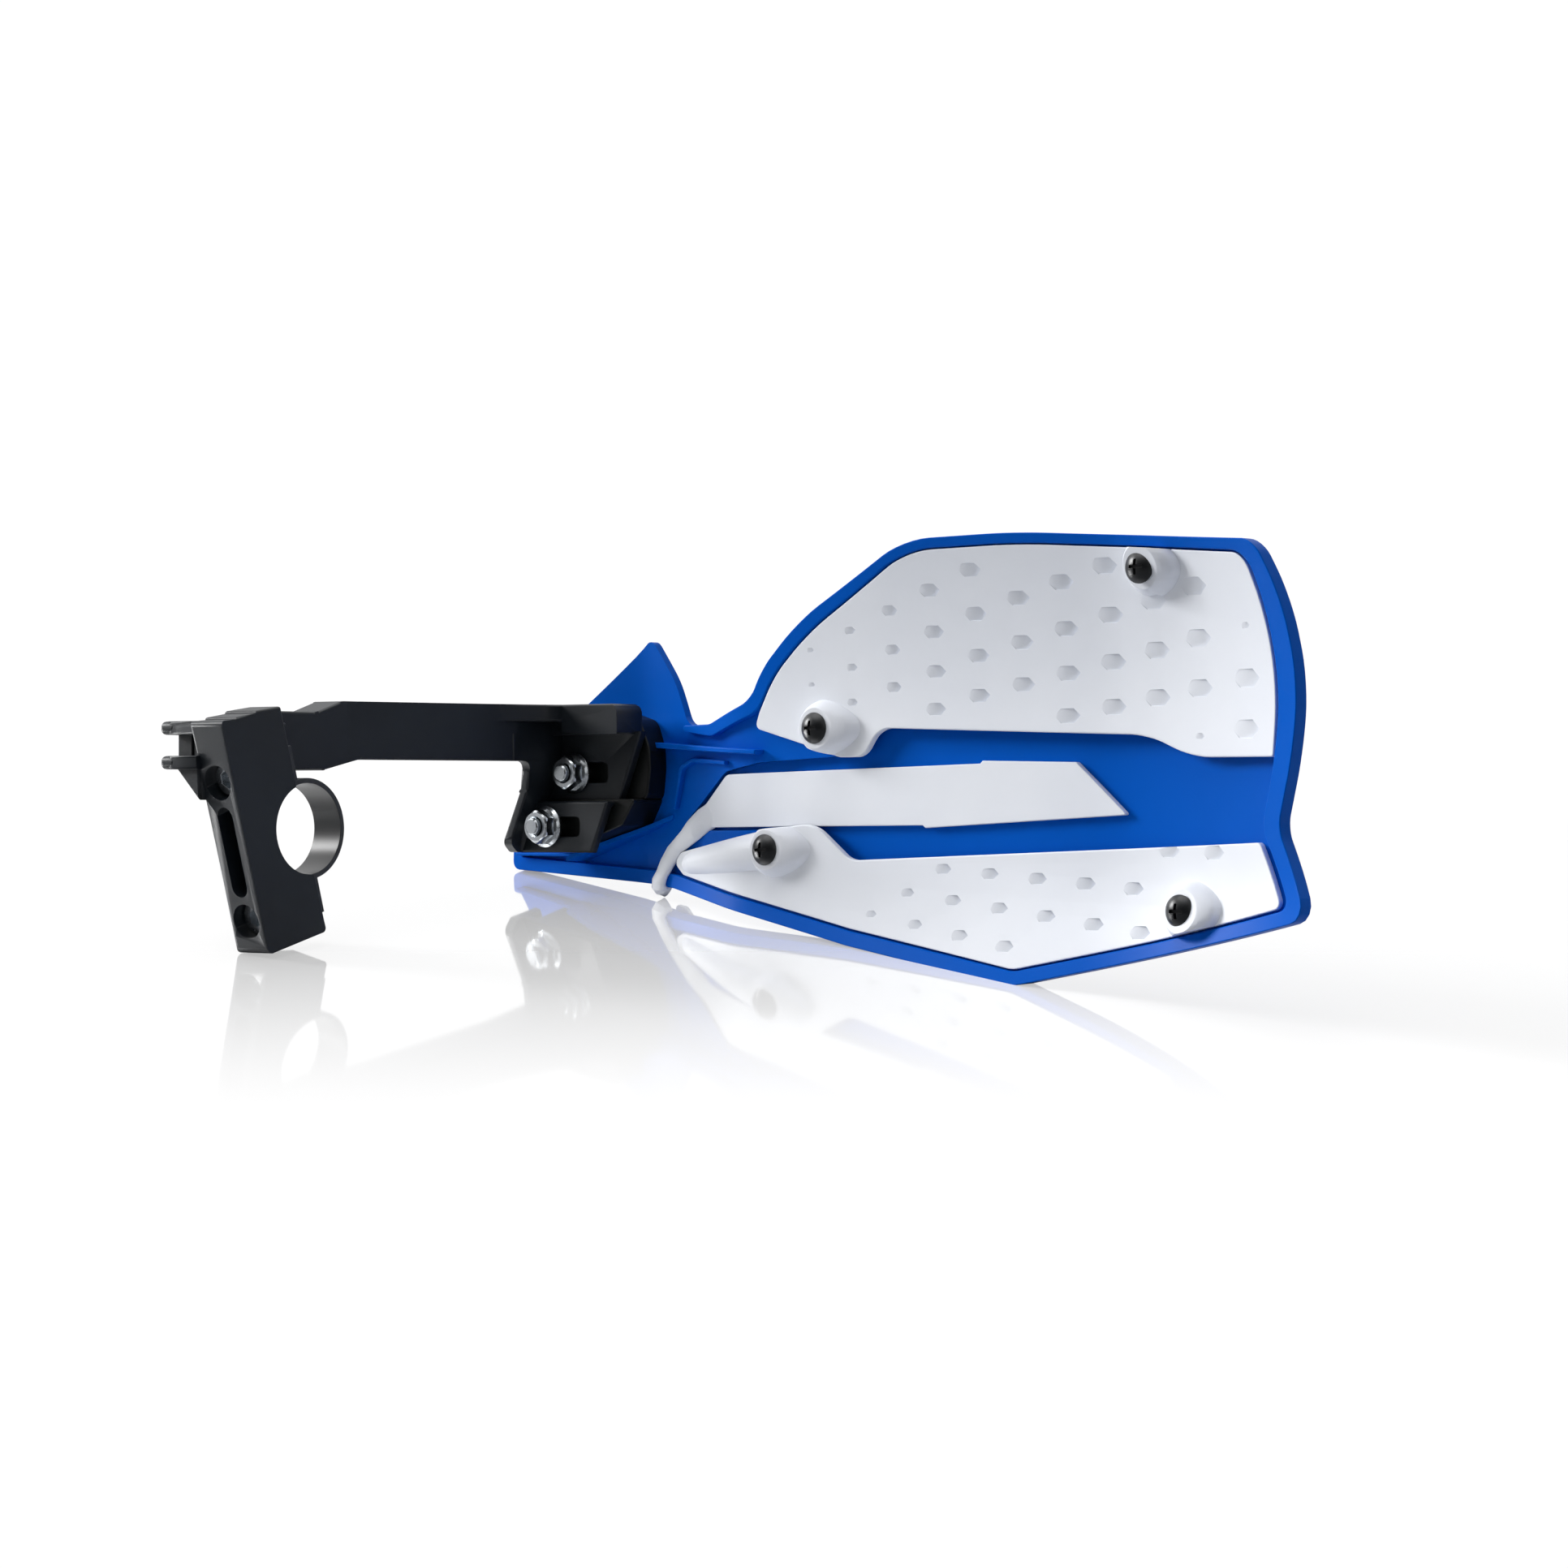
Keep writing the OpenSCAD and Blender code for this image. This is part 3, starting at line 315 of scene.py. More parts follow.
def moulded(name, colour, darker, roughness, grain_mm, grain_depth_mm, mottle=0.25, specular=0.5):
    """A moulded plastic: slow colour drift from the melt, spark-eroded grain, uneven roughness."""
    material, tree, shader = new_material(name)
    coord = add_node(tree, "ShaderNodeTexCoord").outputs["Object"]
    drift = add_node(
        tree, "ShaderNodeTexNoise", Vector=coord, Scale=DRIFT_SCALE, Detail=3.0, Roughness=0.5
    )
    amount = add_node(
        tree, "ShaderNodeMapRange", Value=drift.outputs[0],
        From_Min=0.3, From_Max=0.7, To_Min=0.0, To_Max=mottle,
    )
    mix = add_node(
        tree, "ShaderNodeMix", {"data_type": "RGBA"}, i0=amount.outputs[0], i6=colour, i7=darker
    )
    grain = add_node(
        tree, "ShaderNodeTexNoise", Vector=coord, Scale=1.0 / (grain_mm * MM), Detail=2.0
    )
    rough = add_node(
        tree, "ShaderNodeMapRange", Value=grain.outputs[0],
        To_Min=roughness - 0.05, To_Max=roughness + 0.05,
    )
    bump = add_node(
        tree, "ShaderNodeBump", Height=grain.outputs[0], Strength=0.35, Distance=grain_depth_mm * MM
    )
    tree.links.new(mix.outputs[2], shader.inputs["Base Color"])
    tree.links.new(rough.outputs[0], shader.inputs["Roughness"])
    tree.links.new(bump.outputs[0], shader.inputs["Normal"])
    shader.inputs["IOR"].default_value = 1.49
    shader.inputs["Specular IOR Level"].default_value = specular
    return material


def plated(name, colour, stain, roughness, metallic=1.0):
    """Plated or oxide-coated steel: metal with a faint stain and turned or rolled marks."""
    material, tree, shader = new_material(name)
    coord = add_node(tree, "ShaderNodeTexCoord").outputs["Object"]
    cloud = add_node(tree, "ShaderNodeTexNoise", Vector=coord, Scale=STAIN_SCALE, Detail=3.0)
    mix = add_node(
        tree, "ShaderNodeMix", {"data_type": "RGBA"}, i0=cloud.outputs[0], i6=colour, i7=stain
    )
    marks = add_node(tree, "ShaderNodeTexNoise", Vector=coord, Scale=MARK_SCALE, Detail=2.0)
    rough = add_node(
        tree, "ShaderNodeMapRange", Value=marks.outputs[0],
        To_Min=max(0.04, roughness - 0.07), To_Max=roughness + 0.07,
    )
    bump = add_node(
        tree, "ShaderNodeBump", Height=marks.outputs[0], Strength=0.15, Distance=0.02 * MM
    )
    tree.links.new(mix.outputs[2], shader.inputs["Base Color"])
    tree.links.new(rough.outputs[0], shader.inputs["Roughness"])
    tree.links.new(bump.outputs[0], shader.inputs["Normal"])
    shader.inputs["Metallic"].default_value = metallic
    return material


MATERIALS = {}


def make_materials(props):
    """Makes each finish once, under a short key."""
    # Polypropylene in the mould's blue: soft sheen, an even colour and a very fine grain.
    MATERIALS["blue"] = moulded(
        "polypropylene_blue_moulded", (*props.blue, 1.0), linear("#0050B4"), 0.34,
        grain_mm=0.5, grain_depth_mm=0.02, mottle=0.3, specular=0.03,
    )
    # Polypropylene in white: matt moulded face, a little cooler where it is thick.
    MATERIALS["white"] = moulded(
        "polypropylene_white_moulded", (*props.white, 1.0), linear("#E4E8F0"), 0.48,
        grain_mm=0.45, grain_depth_mm=0.02, mottle=0.5, specular=0.35,
    )
    # Glass-filled nylon in black: satin, with faint grey flow marks.
    MATERIALS["nylon"] = moulded(
        "nylon_glass_filled_black", (*props.black, 1.0), linear("#1C232B"), 0.42,
        grain_mm=0.4, grain_depth_mm=0.04, mottle=0.6, specular=0.32,
    )
    # The spacer takes a deeper black than the arm's nylon, with a trace of green. The darker tone is
    # painted shade of the recess under the bracket, where the spacer sits.
    MATERIALS["spacer"] = moulded(
        "nylon_black_spacer_painted_shade", linear("#07090A"), linear("#0C1110"), 0.42,
        grain_mm=0.4, grain_depth_mm=0.04, mottle=0.6, specular=0.3,
    )
    # Strip steel under black electrocoat: smooth satin film.
    MATERIALS["strap"] = moulded(
        "steel_strip_electrocoated_black", linear("#1B1C1E"), linear("#26282B"), 0.3,
        grain_mm=0.3, grain_depth_mm=0.01, mottle=0.4,
    )
    # Zinc plate on cold-headed steel: bright and faintly blue.
    MATERIALS["zinc"] = plated("steel_zinc_plated", linear("#CDD1D4"), linear("#B6BCC2"), 0.24)
    # Black oxide on the screws: deep black with an oily sheen. The clamp nuts are zinc-plated, and this
    # black on them is painted shade and dark reflection.
    MATERIALS["oxide"] = plated(
        "steel_black_oxide_and_painted_shade", linear("#141516"), linear("#1B1D20"), 0.34, metallic=0.3
    )


# Mesh building


def corner_cut(a, c, b, r):
    """How far along its sides a corner is cut so that its round has radius r."""
    u, v = (a - c).normalized(), (b - c).normalized()
    half = math.acos(max(-1.0, min(1.0, u.dot(v)))) / 2
    return min(r / math.tan(half), 0.48 * (a - c).length, 0.48 * (b - c).length)


def round_outline(bm, outline, offset=0.0):
    """Adds a flat face of the outline with its corners rounded, shrunk by offset."""
    points = [Vector((x, z)) for x, z, _ in outline]
    n = len(points)
    if offset:
        moved = []
        for i in range(n):
            a, c, b = points[i - 1], points[i], points[(i + 1) % n]
            m = Vector((-(c - a).normalized().y, (c - a).normalized().x))
            k = Vector((-(b - c).normalized().y, (b - c).normalized().x))
            moved.append(c + (m + k) / (1 + m.dot(k)) * offset)
        points = moved
    verts = [bm.verts.new((p.x, 0.0, p.y)) for p in points]
    bm.faces.new(verts)
    for i in range(n):
        r = outline[i][2]
        if r > 0:
            cut = corner_cut(points[i - 1], points[i], points[(i + 1) % n], r)
            bmesh.ops.bevel(
                bm, geom=[verts[i]], offset=cut, offset_type="OFFSET", affect="VERTICES",
                segments=6 if r > 6 else 4, profile=0.5, material=-1,
            )
    return bm


def plate(outline, low, high, edge, offset=0.0, holes=(), both=False):
    """A plate between two heights, with holes, and with the rider's side or both rounded."""
    bm = round_outline(bmesh.new(), outline, offset)
    for hole in holes:
        round_outline(bm, hole)
    if holes:
        bmesh.ops.delete(bm, geom=bm.faces[:], context="FACES_ONLY")
        bmesh.ops.triangle_fill(bm, edges=bm.edges[:], use_beauty=True, use_dissolve=False)
    for v in bm.verts:
        v.co.y = -low
    top = bmesh.ops.extrude_face_region(bm, geom=bm.faces[:])
    moved = [g for g in top["geom"] if isinstance(g, bmesh.types.BMVert)]
    bmesh.ops.translate(bm, verts=moved, vec=(0, low - high, 0))
    bmesh.ops.recalc_face_normals(bm, faces=bm.faces[:])
    if edge > 0:
        rim = [
            e for e in bm.edges
            if len(e.link_faces) == 2 and e.calc_face_angle(0) > 1.0
            and abs(e.verts[0].co.y - e.verts[1].co.y) < 1e-4
            and (both or abs(e.verts[0].co.y + high) < 1e-4)
        ]
        bmesh.ops.bevel(
            bm, geom=rim, offset=edge, offset_type="OFFSET", affect="EDGES",
            segments=4, profile=0.5, material=-1, clamp_overlap=True,
        )
    return bm


def slice_up(bm):
    """Cuts a flat piece at even steps so that it can follow the shield's curves."""
    xs = [v.co.x for v in bm.verts]
    zs = [v.co.z for v in bm.verts]
    for low, high, axis in ((min(xs), max(xs), 0), (min(zs), max(zs), 2)):
        for k in range(1, int((high - low) / SLICE) + 1):
            place, normal = [0.0, 0.0, 0.0], [0.0, 0.0, 0.0]
            place[axis], normal[axis] = low + k * SLICE, 1.0
            bmesh.ops.bisect_plane(
                bm, geom=bm.verts[:] + bm.edges[:] + bm.faces[:], plane_co=place, plane_no=normal
            )


def drape(bm):
    """Slices a flat piece and lays it on the shield's curved rear face."""
    slice_up(bm)
    for v in bm.verts:
        v.co.y += shell_y(v.co.x, v.co.z)


def join(parts):
    """One bmesh from several, which are freed."""
    bm = bmesh.new()
    for part in parts:
        mesh = bpy.data.meshes.new("part")
        part.to_mesh(mesh)
        part.free()
        bm.from_mesh(mesh)
        bpy.data.meshes.remove(mesh)
    return bm


def finish_piece(name, bm, material, replaced, sharp=38.0):
    """Makes the object in metres, shades it and puts it in the place of its CAD node."""
    bmesh.ops.scale(bm, vec=(MM, MM, MM), verts=bm.verts[:])
    mesh = bpy.data.meshes.new(name)
    bm.to_mesh(mesh)
    bm.free()
    mesh.materials.append(MATERIALS[material])
    for polygon in mesh.polygons:
        polygon.use_smooth = True
    mesh.set_sharp_from_angle(angle=math.radians(sharp))
    piece = bpy.data.objects.new(name, mesh)
    bpy.context.scene.collection.objects.link(piece)
    weighted = piece.modifiers.new("even_shading", "WEIGHTED_NORMAL")
    weighted.keep_sharp = True
    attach(piece, "root")
    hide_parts(*replaced)


def bar(low, high, edge):
    """A box between two corners with rounded edges."""
    bm = bmesh.new()
    bmesh.ops.create_cube(bm, size=1.0)
    for v in bm.verts:
        v.co = Vector([low[i] + (v.co[i] + 0.5) * (high[i] - low[i]) for i in range(3)])
    bmesh.ops.bevel(
        bm, geom=bm.edges[:], offset=edge, offset_type="OFFSET", affect="EDGES",
        segments=4, profile=0.5, material=-1,
    )
    return bm


def merged_copy(node):
    """A CAD node's mesh in millimetres, with the vertices of its triangles merged."""
    bm = bmesh.new()
    bm.from_mesh(NODES[node].data)
    bmesh.ops.scale(bm, vec=(1 / MM, 1 / MM, 1 / MM), verts=bm.verts[:])
    bmesh.ops.remove_doubles(bm, verts=bm.verts[:], dist=0.002)
    return bm


def softened(node, name, material, edge, extras=(), shortest=0.0, cut_y=None):
    """A copy of a CAD node with its edges a little rounded.

    With shortest, only outer edges of that length or more are rounded. With cut_y, the copy is
    cut off and capped that far along the clamp's leaning axis.
    """
    bm = merged_copy(node)
    bmesh.ops.dissolve_limit(
        bm, angle_limit=math.radians(1.0), verts=bm.verts[:], edges=bm.edges[:]
    )
    if cut_y is not None:
        normal = Matrix.Rotation(CLAMP_LEAN, 3, "X") @ Vector((0, 1, 0))
        cut = bmesh.ops.bisect_plane(
            bm, geom=bm.verts[:] + bm.edges[:] + bm.faces[:],
            plane_co=normal * cut_y, plane_no=normal, clear_outer=True,
        )
        rim = [g for g in cut["geom_cut"] if isinstance(g, bmesh.types.BMEdge)]
        bmesh.ops.contextual_create(bm, geom=rim)
    sharp = [
        e for e in bm.edges
        if len(e.link_faces) == 2 and e.calc_face_angle(0) > math.radians(30.0)
        and e.calc_length() >= shortest and (not shortest or e.is_convex)
    ]
    bmesh.ops.bevel(
        bm, geom=sharp, offset=edge, offset_type="OFFSET", affect="EDGES",
        segments=3, profile=0.5, material=-1, clamp_overlap=not shortest,
    )
    finish_piece(name, join([bm, *extras]), material, [node])


def loft(rings):
    """A closed solid through rings of points, with its ends capped."""
    bm = bmesh.new()
    loops = [[bm.verts.new(point) for point in ring] for ring in rings]
    for low, high in zip(loops, loops[1:]):
        for i in range(len(low)):
            j = (i + 1) % len(low)
            bm.faces.new((low[i], low[j], high[j], high[i]))
    bm.faces.new(loops[0][::-1])
    bm.faces.new(loops[-1])
    bmesh.ops.recalc_face_normals(bm, faces=bm.faces[:])
    return bm


def combined(bm, others, operation):
    """One flat piece cut by others, joined to them, or kept only inside them."""
    objects = []
    for part in (bm, others):
        mesh = bpy.data.meshes.new("part")
        part.to_mesh(mesh)
        part.free()
        objects.append(bpy.data.objects.new("part", mesh))
        bpy.context.scene.collection.objects.link(objects[-1])
    cut = objects[0].modifiers.new("cut", "BOOLEAN")
    cut.operation, cut.object, cut.solver = operation, objects[1], "MANIFOLD"
    depsgraph = bpy.context.evaluated_depsgraph_get()
    result = bmesh.new()
    result.from_mesh(objects[0].evaluated_get(depsgraph).to_mesh())
    for thing in objects:
        bpy.data.meshes.remove(thing.data)
    return result


def dimple_size(x):
    """Width across flats of a dimple: small at the inner end, then nearly even."""
    return 1.8 + 0.062 * (x - 112) if x < 165 else 5.1 + 0.016 * (x - 165)


def scoop(x, z, size, depth, top):
    """Tool for one dimple: a hexagon whose floor slopes down to its lower outer corner."""
    rings = []
    for reach, above in SCOOP_RINGS:
        ring = []
        for k in range(36):
            a = math.radians(10 * k)
            r = reach * size / 2 / math.cos((a % math.radians(60)) - math.radians(30))
            u, w = 1.5 * r * math.cos(a), 0.78 * r * math.sin(a)
            slope = (u * math.cos(DIMPLE_TURN) + w * math.sin(DIMPLE_TURN)) / (0.84 * size)
            deep = depth * min(1.0, max(0.0, (slope + 1.0) / 2)) ** 1.9
            y = top - deep + 0.02 if above is None else top + above
            ring.append((x + u - 0.11 * size, -y, z + w))
        rings.append(ring)
    return loft(rings)


def upper_places():
    """The upper panel's dimples as x, z and size."""
    for i, (first, last) in enumerate(UPPER_ROWS):
        for m in range(first, last + 1):
            x = 112.5 + 17.5 * i + (m - 2) * 0.8
            slant = 0.139 + 0.034 * m + (0.05 if x < 182.5 else 0.0)
            z = 29.5 + 11.3 * m + 0.25 * m * m + (x - 182.5) * slant
            small = (i, m) in ((9, -1), (10, 1))
            yield x + (3.0 if i == 10 else 0.0), z, 2.4 if small else dimple_size(x)


def lower_places():
    """The lower panel's dimples as x, z and size."""
    for i, (first, last) in enumerate(LOWER_ROWS):
        for n in range(first, last + 1):
            x = 185.6 + 18.6 * (i - 3) + 4.9 * n
            z = -13.9 - 9.6 * n - 0.3 * n * n - (0.07 + 0.045 * n) * (x - 186)
            yield x, z, 0.8 * dimple_size(x)


def boss(x, z, tail):
    """A screw boss that is faired outward into its panel."""
    rings = []
    for height, spread, flare in BOSS_PROFILE:
        ring = []
        for k in range(48):
            a = math.radians(7.5 * k)
            r = BOSS_R + BOSS_FLARE * flare
            reach = r + tail * spread * max(0.0, math.cos(a)) ** 1.5
            ring.append((x + reach * math.cos(a), -height, z + r * math.sin(a)))
        rings.append(ring)
    return loft(rings)


def fairing():
    """The long round finger that runs from the lower panel's tip into its inner boss."""
    tip, end = Vector(FAIRING_TIP), Vector(FAIRING_END)
    turns = [math.radians(10 * k) for k in range(36)]
    rings = []
    for share, r in FAIRING:
        c = tip.lerp(end, share)
        rings.append([(c.x, -0.4 - 1.05 * r * math.cos(a), c.z + r * math.sin(a)) for a in turns])
    return loft(rings)


def tail():
    """The strip's tail, swept along its run."""
    points = [Vector((x, -h, z)) for x, z, h, _, _ in TAIL_RUN]
    turns = [math.radians(18 * k) for k in range(20)]
    rings = []
    for i, point in enumerate(points):
        ahead = (points[min(i + 1, len(points) - 1)] - points[max(i - 1, 0)]).normalized()
        side = ahead.cross(Vector((0, -1, 0))).normalized()
        out = side.cross(ahead).normalized()
        wide, thick = TAIL_RUN[i][3:]
        rings.append([point + side * wide * math.cos(a) + out * thick * math.sin(a) for a in turns])
    return loft(rings)


def ring(x, z, y, r, flats=0.0, count=36):
    """A circle round a bolt's axis, or a hexagon where its width across flats is given."""
    points = []
    for k in range(count):
        a = math.radians(360.0 * k / count)
        reach = r
        if flats:
            reach = min(r, flats / 2 / math.cos((a % math.radians(60)) - math.radians(30)))
        points.append((x + reach * math.sin(a), y, z + reach * math.cos(a)))
    return points


# Sizes, colours and operators


class GuardColours(PropertyGroup):
    blue: FloatVectorProperty(
        name="Shell blue", description="Colour of the moulded shell", subtype="COLOR", size=3,
        default=linear("#005AC4")[:3], min=0, max=1,
    )
    white: FloatVectorProperty(
        name="Panel white", description="Colour of the inner panels and the trim", subtype="COLOR", size=3,
        default=linear("#EFF2F8")[:3], min=0, max=1,
    )
    black: FloatVectorProperty(
        name="Arm black", description="Colour of the arm's nylon", subtype="COLOR", size=3,
        default=linear("#0E1217")[:3], min=0, max=1,
    )


class GuardSizes(PropertyGroup):
    edge: FloatProperty(
        name="Moulded edge", description="Radius of the moulded edges of the arm",
        subtype="DISTANCE", unit="LENGTH", precision=5,
        default=0.8 * MM, min=0.1 * MM, max=1.5 * MM,
    )
    rim: FloatProperty(
        name="Rim radius", description="Roundness of the shell's raised rim",
        subtype="DISTANCE", unit="LENGTH", precision=5,
        default=1.7 * MM, min=0.5 * MM, max=2.2 * MM,
    )
    dimple: FloatProperty(
        name="Dimple depth", description="Depth of the dimples in the panels",
        subtype="DISTANCE", unit="LENGTH", precision=5,
        default=2.0 * MM, min=0.2 * MM, max=2.1 * MM,
    )


class GUARD_OT_materials(Operator):
    """Make the plastics and metals"""

    bl_idname = "guard.materials"
    bl_label = "Materials"

    def execute(self, context):
        make_materials(context.scene.guard_colours)
        return {"FINISHED"}


class GUARD_OT_shell(Operator):
    """Build the blue shell with its rim, channel, ribs and posts"""

    bl_idname = "guard.shell"
    bl_label = "Shell"

    def execute(self, context):
        rounding = context.scene.guard_sizes.rim / MM
        parts = [
            plate(SHELL, *WALL_H, 0.6, offset=WALL_INSET, holes=[CHANNEL], both=True),
            plate(RIM, *RIM_H, rounding, both=True),
            plate(CHANNEL, *FLOOR_H, 0.0, offset=-CHANNEL_SKIN),
            plate(CHANNEL, *CHANNEL_H, 0.0, offset=-CHANNEL_SKIN, holes=[CHANNEL]),
        ]
        for outline, height in RIBS:
            parts.append(plate(outline, RIB_ROOT, height, 0.35))
        shelf = []
        for x, height in SHELF:
            z = SHELF_Z + SHELF_SLOPE * (x - SHELF_X)
            shelf.append([
                (x, -RIB_ROOT, z - 1.0), (x, -RIB_ROOT, z + 1.0),
                (x, -height, z + 0.7), (x, -height, z - 0.7),
            ])
        parts.append(loft(shelf))
        bm = join(parts)
        drape(bm)
        for x, z in SCREWS.values():
            post = bmesh.new()
            bmesh.ops.create_cone(
                post, cap_ends=True, segments=32, radius1=POST_R, radius2=POST_R, depth=POST_LENGTH
            )
            bmesh.ops.rotate(post, verts=post.verts[:], matrix=Matrix.Rotation(math.pi / 2, 3, "X"))
            place = (x, shell_y(x, z) - POST_SUNK, z)
            bmesh.ops.translate(post, verts=post.verts[:], vec=place)
            bm = join([bm, post])
        finish_piece("shell", bm, "blue", ["shield_shell"])
        return {"FINISHED"}


class GUARD_OT_panels(Operator):
    """Build the two white panels with their dimples, bosses and fairing"""

    bl_idname = "guard.panels"
    bl_label = "Panels"

    def execute(self, context):
        depth = context.scene.guard_sizes.dimple / MM
        jobs = (
            ("upper", UPPER, upper_places(), ("upper_inner", "upper_outer")),
            ("lower", LOWER, lower_places(), ("lower_inner", "lower_outer")),
        )
        for name, outline, places, screws in jobs:
            bm = plate(outline, *PANEL_H, 0.5)
            raised = [boss(*SCREWS[key], BOSS_TAILS[key]) for key in screws]
            if name == "lower":
                raised.append(fairing())
            for part in raised:
                part = combined(part, plate(outline, *OVER_PANEL_H, 0.0), "INTERSECT")
                bm = combined(bm, part, "UNION")
            tools = []
            for x, z, size in places:
                clear = min(
                    math.hypot(x - SCREWS[k][0] - BOSS_MIDDLE, z - SCREWS[k][1]) for k in screws
                )
                if clear > DIMPLE_CLEAR[name]:
                    deep = depth * min(1.0, size / FULL_DEPTH_SIZE)
                    tools.append(scoop(x, z, size, deep, PANEL_H[1]))
            bm = combined(bm, join(tools), "DIFFERENCE")
            drape(bm)
            finish_piece("panel_" + name, bm, "white", [name + "_panel"], 32.0)
        return {"FINISHED"}


class GUARD_OT_trim(Operator):
    """Build the white strip, its tail round the lower rim and the blade in front"""

    bl_idname = "guard.trim"
    bl_label = "Trim"

    def execute(self, context):
        strip = plate(STRIP, *STRIP_H, 0.5)
        blade = plate(BLADE, *BLADE_H, 0.6, both=True)
        bm = join([strip, tail(), blade])
        drape(bm)
        finish_piece("trim", bm, "white", ["trim_blade"], 40.0)
        return {"FINISHED"}


class GUARD_OT_arm(Operator):
    """Build the clamp block, the arm and the bracket, with the strap and the spacer"""

    bl_idname = "guard.arm"
    bl_label = "Arm"

    def execute(self, context):
        edge = context.scene.guard_sizes.edge / MM
        # The fins beside the block run a little further out than the solid's.
        fins = [bar(*fin) for fin in BLOCK_FINS]
        softened(
            "mount_arm", "arm", "nylon", edge, extras=fins, shortest=ARM_SHORTEST
        )
        softened("clamp_strap", "strap", "strap", 0.3)
        # Spacer: one smooth block from the pads to the shell, with a foot under the lower pad.
        body = plate(SPACER_BODY, *BODY_H, 0.8, both=True)
        foot = plate(SPACER_FOOT, *FOOT_H, 0.6, both=True)
        bm = join([body, foot])
        for v in bm.verts:
            if v.co.y > SPACER_FITS:
                v.co.y = min(v.co.y, shell_y(v.co.x, v.co.z) + 0.3)
        # The spacer's darker black is painted shade.
        finish_piece("spacer", bm, "spacer", ["spacer_block"])
        return {"FINISHED"}


class GUARD_OT_fasteners(Operator):
    """Build the bolts, nuts, washers and panel screws"""

    bl_idname = "guard.fasteners"
    bl_label = "Fasteners"

    def execute(self, context):
        for key, (x, z, pad) in PADS.items():
            node = "flange_nut_" + key
            bm = loft([ring(x, z, pad - h, r, flats) for h, r, flats in FLANGE_NUT])
            finish_piece(node + "_look", bm, "zinc", [node], 25.0)
            # Bolt: the CAD head and shank, and a threaded end that stands a little out of the nut.
            node = "shield_bolt_" + key
            shank = merged_copy(node)
            bmesh.ops.bisect_plane(
                shank, geom=shank.verts[:] + shank.edges[:] + shank.faces[:],
                plane_co=(0, pad - SHANK_CUT, 0), plane_no=(0, -1, 0), clear_outer=True,
            )
            thread = [
                ring(x, z, pad - THREAD_START - HALF_PITCH * k, CREST_R if k % 2 else ROOT_R)
                for k in range(HALF_TURNS)
            ]
            thread += [ring(x, z, pad - h, r) for h, r in BOLT_TIP]
            bm = join([shank, loft(thread)])
            finish_piece(node + "_look", bm, "zinc", [node], 30.0)
        for node in sorted(NODES):
            for start, material, slot, edge, cut_y in SMALL_PARTS:
                if node.startswith(start):
                    softened(node, node + "_look", material, edge, cut_y=cut_y)
        # Clamp nuts: low and round-shouldered on the front of the strap, in the black oxide finish as
        # painted shade and dark reflection.
        lean = Matrix.Rotation(CLAMP_LEAN, 3, "X")
        for node, z in CLAMP_NUT_Z.items():
            bm = loft([ring(0, z, h, r, flats) for h, r, flats in CLAMP_NUT])
            bmesh.ops.rotate(bm, matrix=lean, verts=bm.verts[:])
            finish_piece(node + "_look", bm, "oxide", [node], 30.0)
        return {"FINISHED"}


def board_material():
    """Polished white board: white to the camera, with shadows and a mirror image.

    The mirror image is clear under the object and fades towards the front and behind.
    """
    material = bpy.data.materials.new("board_white_polished")
    tree = empty_tree(material)
    coord = add_node(tree, "ShaderNodeTexCoord").outputs["Object"]
    along = add_node(
        tree, "ShaderNodeVectorMath", {"operation": "DOT_PRODUCT"}, i0=coord, i1=VIEW
    ).outputs["Value"]
    front = add_node(
        tree, "ShaderNodeMapRange", SMOOTH, Value=along,
        From_Min=-0.24, From_Max=0.13, To_Min=0.0, To_Max=0.68,
    )
    behind = add_node(
        tree, "ShaderNodeMapRange", SMOOTH, Value=along,
        From_Min=0.14, From_Max=0.23, To_Min=1.0, To_Max=0.0,
    )
    share = add_node(
        tree, "ShaderNodeMath", {"operation": "MULTIPLY"}, i0=front.outputs[0], i1=behind.outputs[0]
    )
    seen = add_node(tree, "ShaderNodeLightPath").outputs["Is Camera Ray"]
    strength = add_node(tree, "ShaderNodeMath", {"operation": "MULTIPLY"}, i0=seen, i1=0.75)
    tone = add_node(
        tree, "ShaderNodeMix", {"data_type": "RGBA"}, i0=seen,
        i6=(0.36, 0.37, 0.39, 1), i7=(0.3, 0.3, 0.3, 1),
    )
    white = add_node(tree, "ShaderNodeBsdfDiffuse", Color=tone.outputs[2])
    glow = add_node(tree, "ShaderNodeEmission", Color=(1, 1, 1, 1), Strength=strength.outputs[0])
    base = add_node(tree, "ShaderNodeAddShader", i0=white.outputs[0], i1=glow.outputs[0])
    mirror = add_node(tree, "ShaderNodeBsdfGlossy", Color=(1, 1, 1, 1), Roughness=0.05)
    lift = add_node(tree, "ShaderNodeMath", {"operation": "MULTIPLY"}, i0=seen, i1=0.1)
    rest = add_node(tree, "ShaderNodeEmission", Color=(1, 1, 1, 1), Strength=lift.outputs[0])
    image = add_node(tree, "ShaderNodeAddShader", i0=mirror.outputs[0], i1=rest.outputs[0])
    mix = add_node(
        tree, "ShaderNodeMixShader", i0=share.outputs[0], i1=base.outputs[0], i2=image.outputs[0]
    )
    add_node(tree, "ShaderNodeOutputMaterial", i0=mix.outputs[0])
    return material


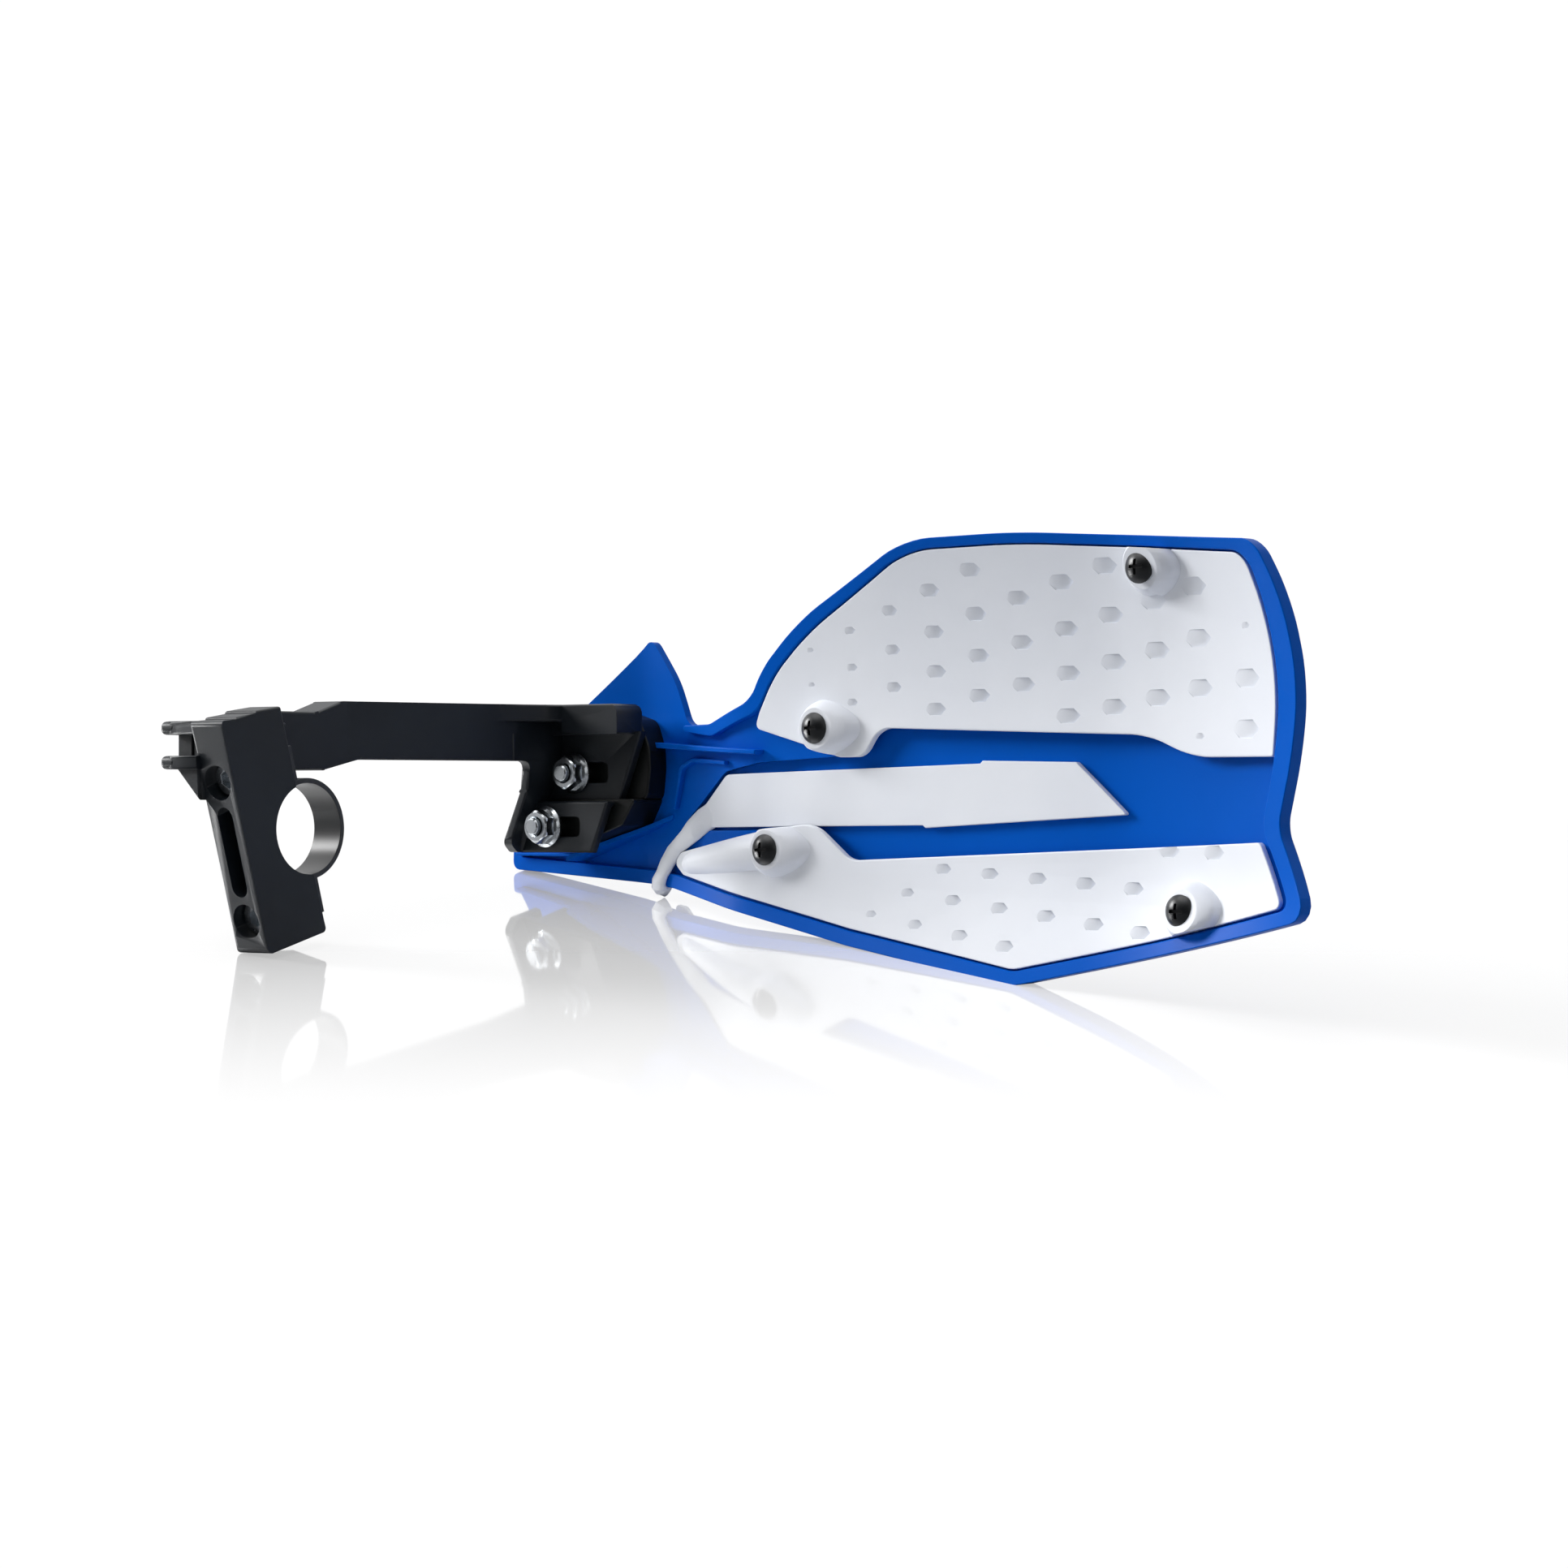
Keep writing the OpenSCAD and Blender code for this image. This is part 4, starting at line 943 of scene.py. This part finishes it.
def studio_world():
    """White room: even for the eye and for matt faces.

    What glossy faces mirror is dark behind the camera and bright beyond the object and overhead,
    as with soft boxes round a table.
    """
    world = bpy.data.worlds.new("studio")
    tree = empty_tree(world)
    way = add_node(tree, "ShaderNodeTexCoord").outputs["Generated"]
    ahead = add_node(tree, "ShaderNodeVectorMath", {"operation": "DOT_PRODUCT"}, i0=way, i1=VIEW)
    front = add_node(
        tree, "ShaderNodeMapRange", SMOOTH, Value=ahead.outputs["Value"],
        From_Min=-0.5, From_Max=0.25, To_Min=0.05, To_Max=0.9,
    )
    split = add_node(tree, "ShaderNodeSeparateXYZ", Vector=way)
    above = add_node(
        tree, "ShaderNodeMapRange", SMOOTH, Value=split.outputs["Z"],
        From_Min=0.45, From_Max=0.75, To_Min=0.0, To_Max=0.9,
    )
    mirrored = add_node(
        tree, "ShaderNodeMath", {"operation": "ADD"}, i0=front.outputs[0], i1=above.outputs[0]
    )
    path = add_node(tree, "ShaderNodeLightPath").outputs
    soft = add_node(
        tree, "ShaderNodeMix", {"data_type": "FLOAT"},
        i0=path["Is Glossy Ray"], i2=0.14, i3=mirrored.outputs[0],
    )
    seen = add_node(
        tree, "ShaderNodeMath", {"operation": "MAXIMUM"},
        i0=path["Is Camera Ray"], i1=path["Is Transmission Ray"],
    )
    level = add_node(
        tree, "ShaderNodeMix", {"data_type": "FLOAT"}, i0=seen.outputs[0], i2=soft.outputs[0], i3=1.0
    )
    sky = add_node(tree, "ShaderNodeBackground", Color=(1, 1, 1, 1), Strength=level.outputs[0])
    add_node(tree, "ShaderNodeOutputWorld", i0=sky.outputs[0])
    return world


class GUARD_OT_stage(Operator):
    """Set up the white floor, the soft lamps and the camera"""

    bl_idname = "guard.stage"
    bl_label = "Stage"

    def execute(self, context):
        scene = context.scene
        normal = Vector(BOARD_NORMAL).normalized()
        turn = normal.to_track_quat("Z", "X").to_matrix().to_4x4()
        bm = bmesh.new()
        bmesh.ops.create_grid(bm, x_segments=1, y_segments=1, size=BOARD_REACH)
        level = Matrix.Translation(normal * BOARD_DROP) @ turn
        bmesh.ops.transform(bm, matrix=level, verts=bm.verts[:])
        mesh = bpy.data.meshes.new("floor")
        bm.to_mesh(mesh)
        bm.free()
        floor = bpy.data.objects.new("floor", mesh)
        scene.collection.objects.link(floor)
        mesh.materials.append(board_material())
        scene.world = studio_world()

        for name, place, width, power in LAMPS:
            lamp = bpy.data.lights.new(name, "SUN")
            lamp.angle = math.radians(width)
            lamp.energy = power
            holder = bpy.data.objects.new(name, lamp)
            holder.rotation_euler = (-Vector(place)).to_track_quat("-Z", "Y").to_euler()
            scene.collection.objects.link(holder)

        camera = bpy.data.cameras.new("camera")
        camera.sensor_width = SENSOR_MM
        camera.lens = FOCAL_PX * SENSOR_MM / IMAGE_PX
        camera.clip_end = 400.0
        holder = bpy.data.objects.new("camera", camera)
        turn = Matrix(CAMERA_AXES).transposed().to_4x4()
        holder.matrix_world = Matrix.Translation(CAMERA_PLACE) @ turn
        scene.collection.objects.link(holder)
        scene.camera = holder
        scene.view_settings.view_transform = "Standard"
        return {"FINISHED"}


class GUARD_PT_panel(Panel):
    bl_idname = "GUARD_PT_panel"
    bl_label = "Hand guard"
    bl_space_type = "VIEW_3D"
    bl_region_type = "UI"
    bl_category = "Hand guard"

    def draw(self, context):
        for group in (context.scene.guard_colours, context.scene.guard_sizes):
            for key in group.__annotations__:
                self.layout.prop(group, key)
        for operator in STEPS:
            self.layout.operator(operator.bl_idname)


STEPS = (
    GUARD_OT_materials, GUARD_OT_shell, GUARD_OT_panels, GUARD_OT_trim,
    GUARD_OT_arm, GUARD_OT_fasteners, GUARD_OT_stage,
)
CLASSES = (GuardColours, GuardSizes, *STEPS, GUARD_PT_panel)


def register():
    for cls in CLASSES:
        bpy.utils.register_class(cls)
    bpy.types.Scene.guard_colours = PointerProperty(type=GuardColours)
    bpy.types.Scene.guard_sizes = PointerProperty(type=GuardSizes)


def unregister():
    del bpy.types.Scene.guard_sizes
    del bpy.types.Scene.guard_colours
    for cls in reversed(CLASSES):
        bpy.utils.unregister_class(cls)


def main():
    """Builds the object and its stage."""
    register()
    bpy.ops.guard.materials()
    bpy.ops.guard.shell()
    bpy.ops.guard.panels()
    bpy.ops.guard.trim()
    bpy.ops.guard.arm()
    bpy.ops.guard.fasteners()
    bpy.ops.guard.stage()


if __name__ == "__main__":
    main()
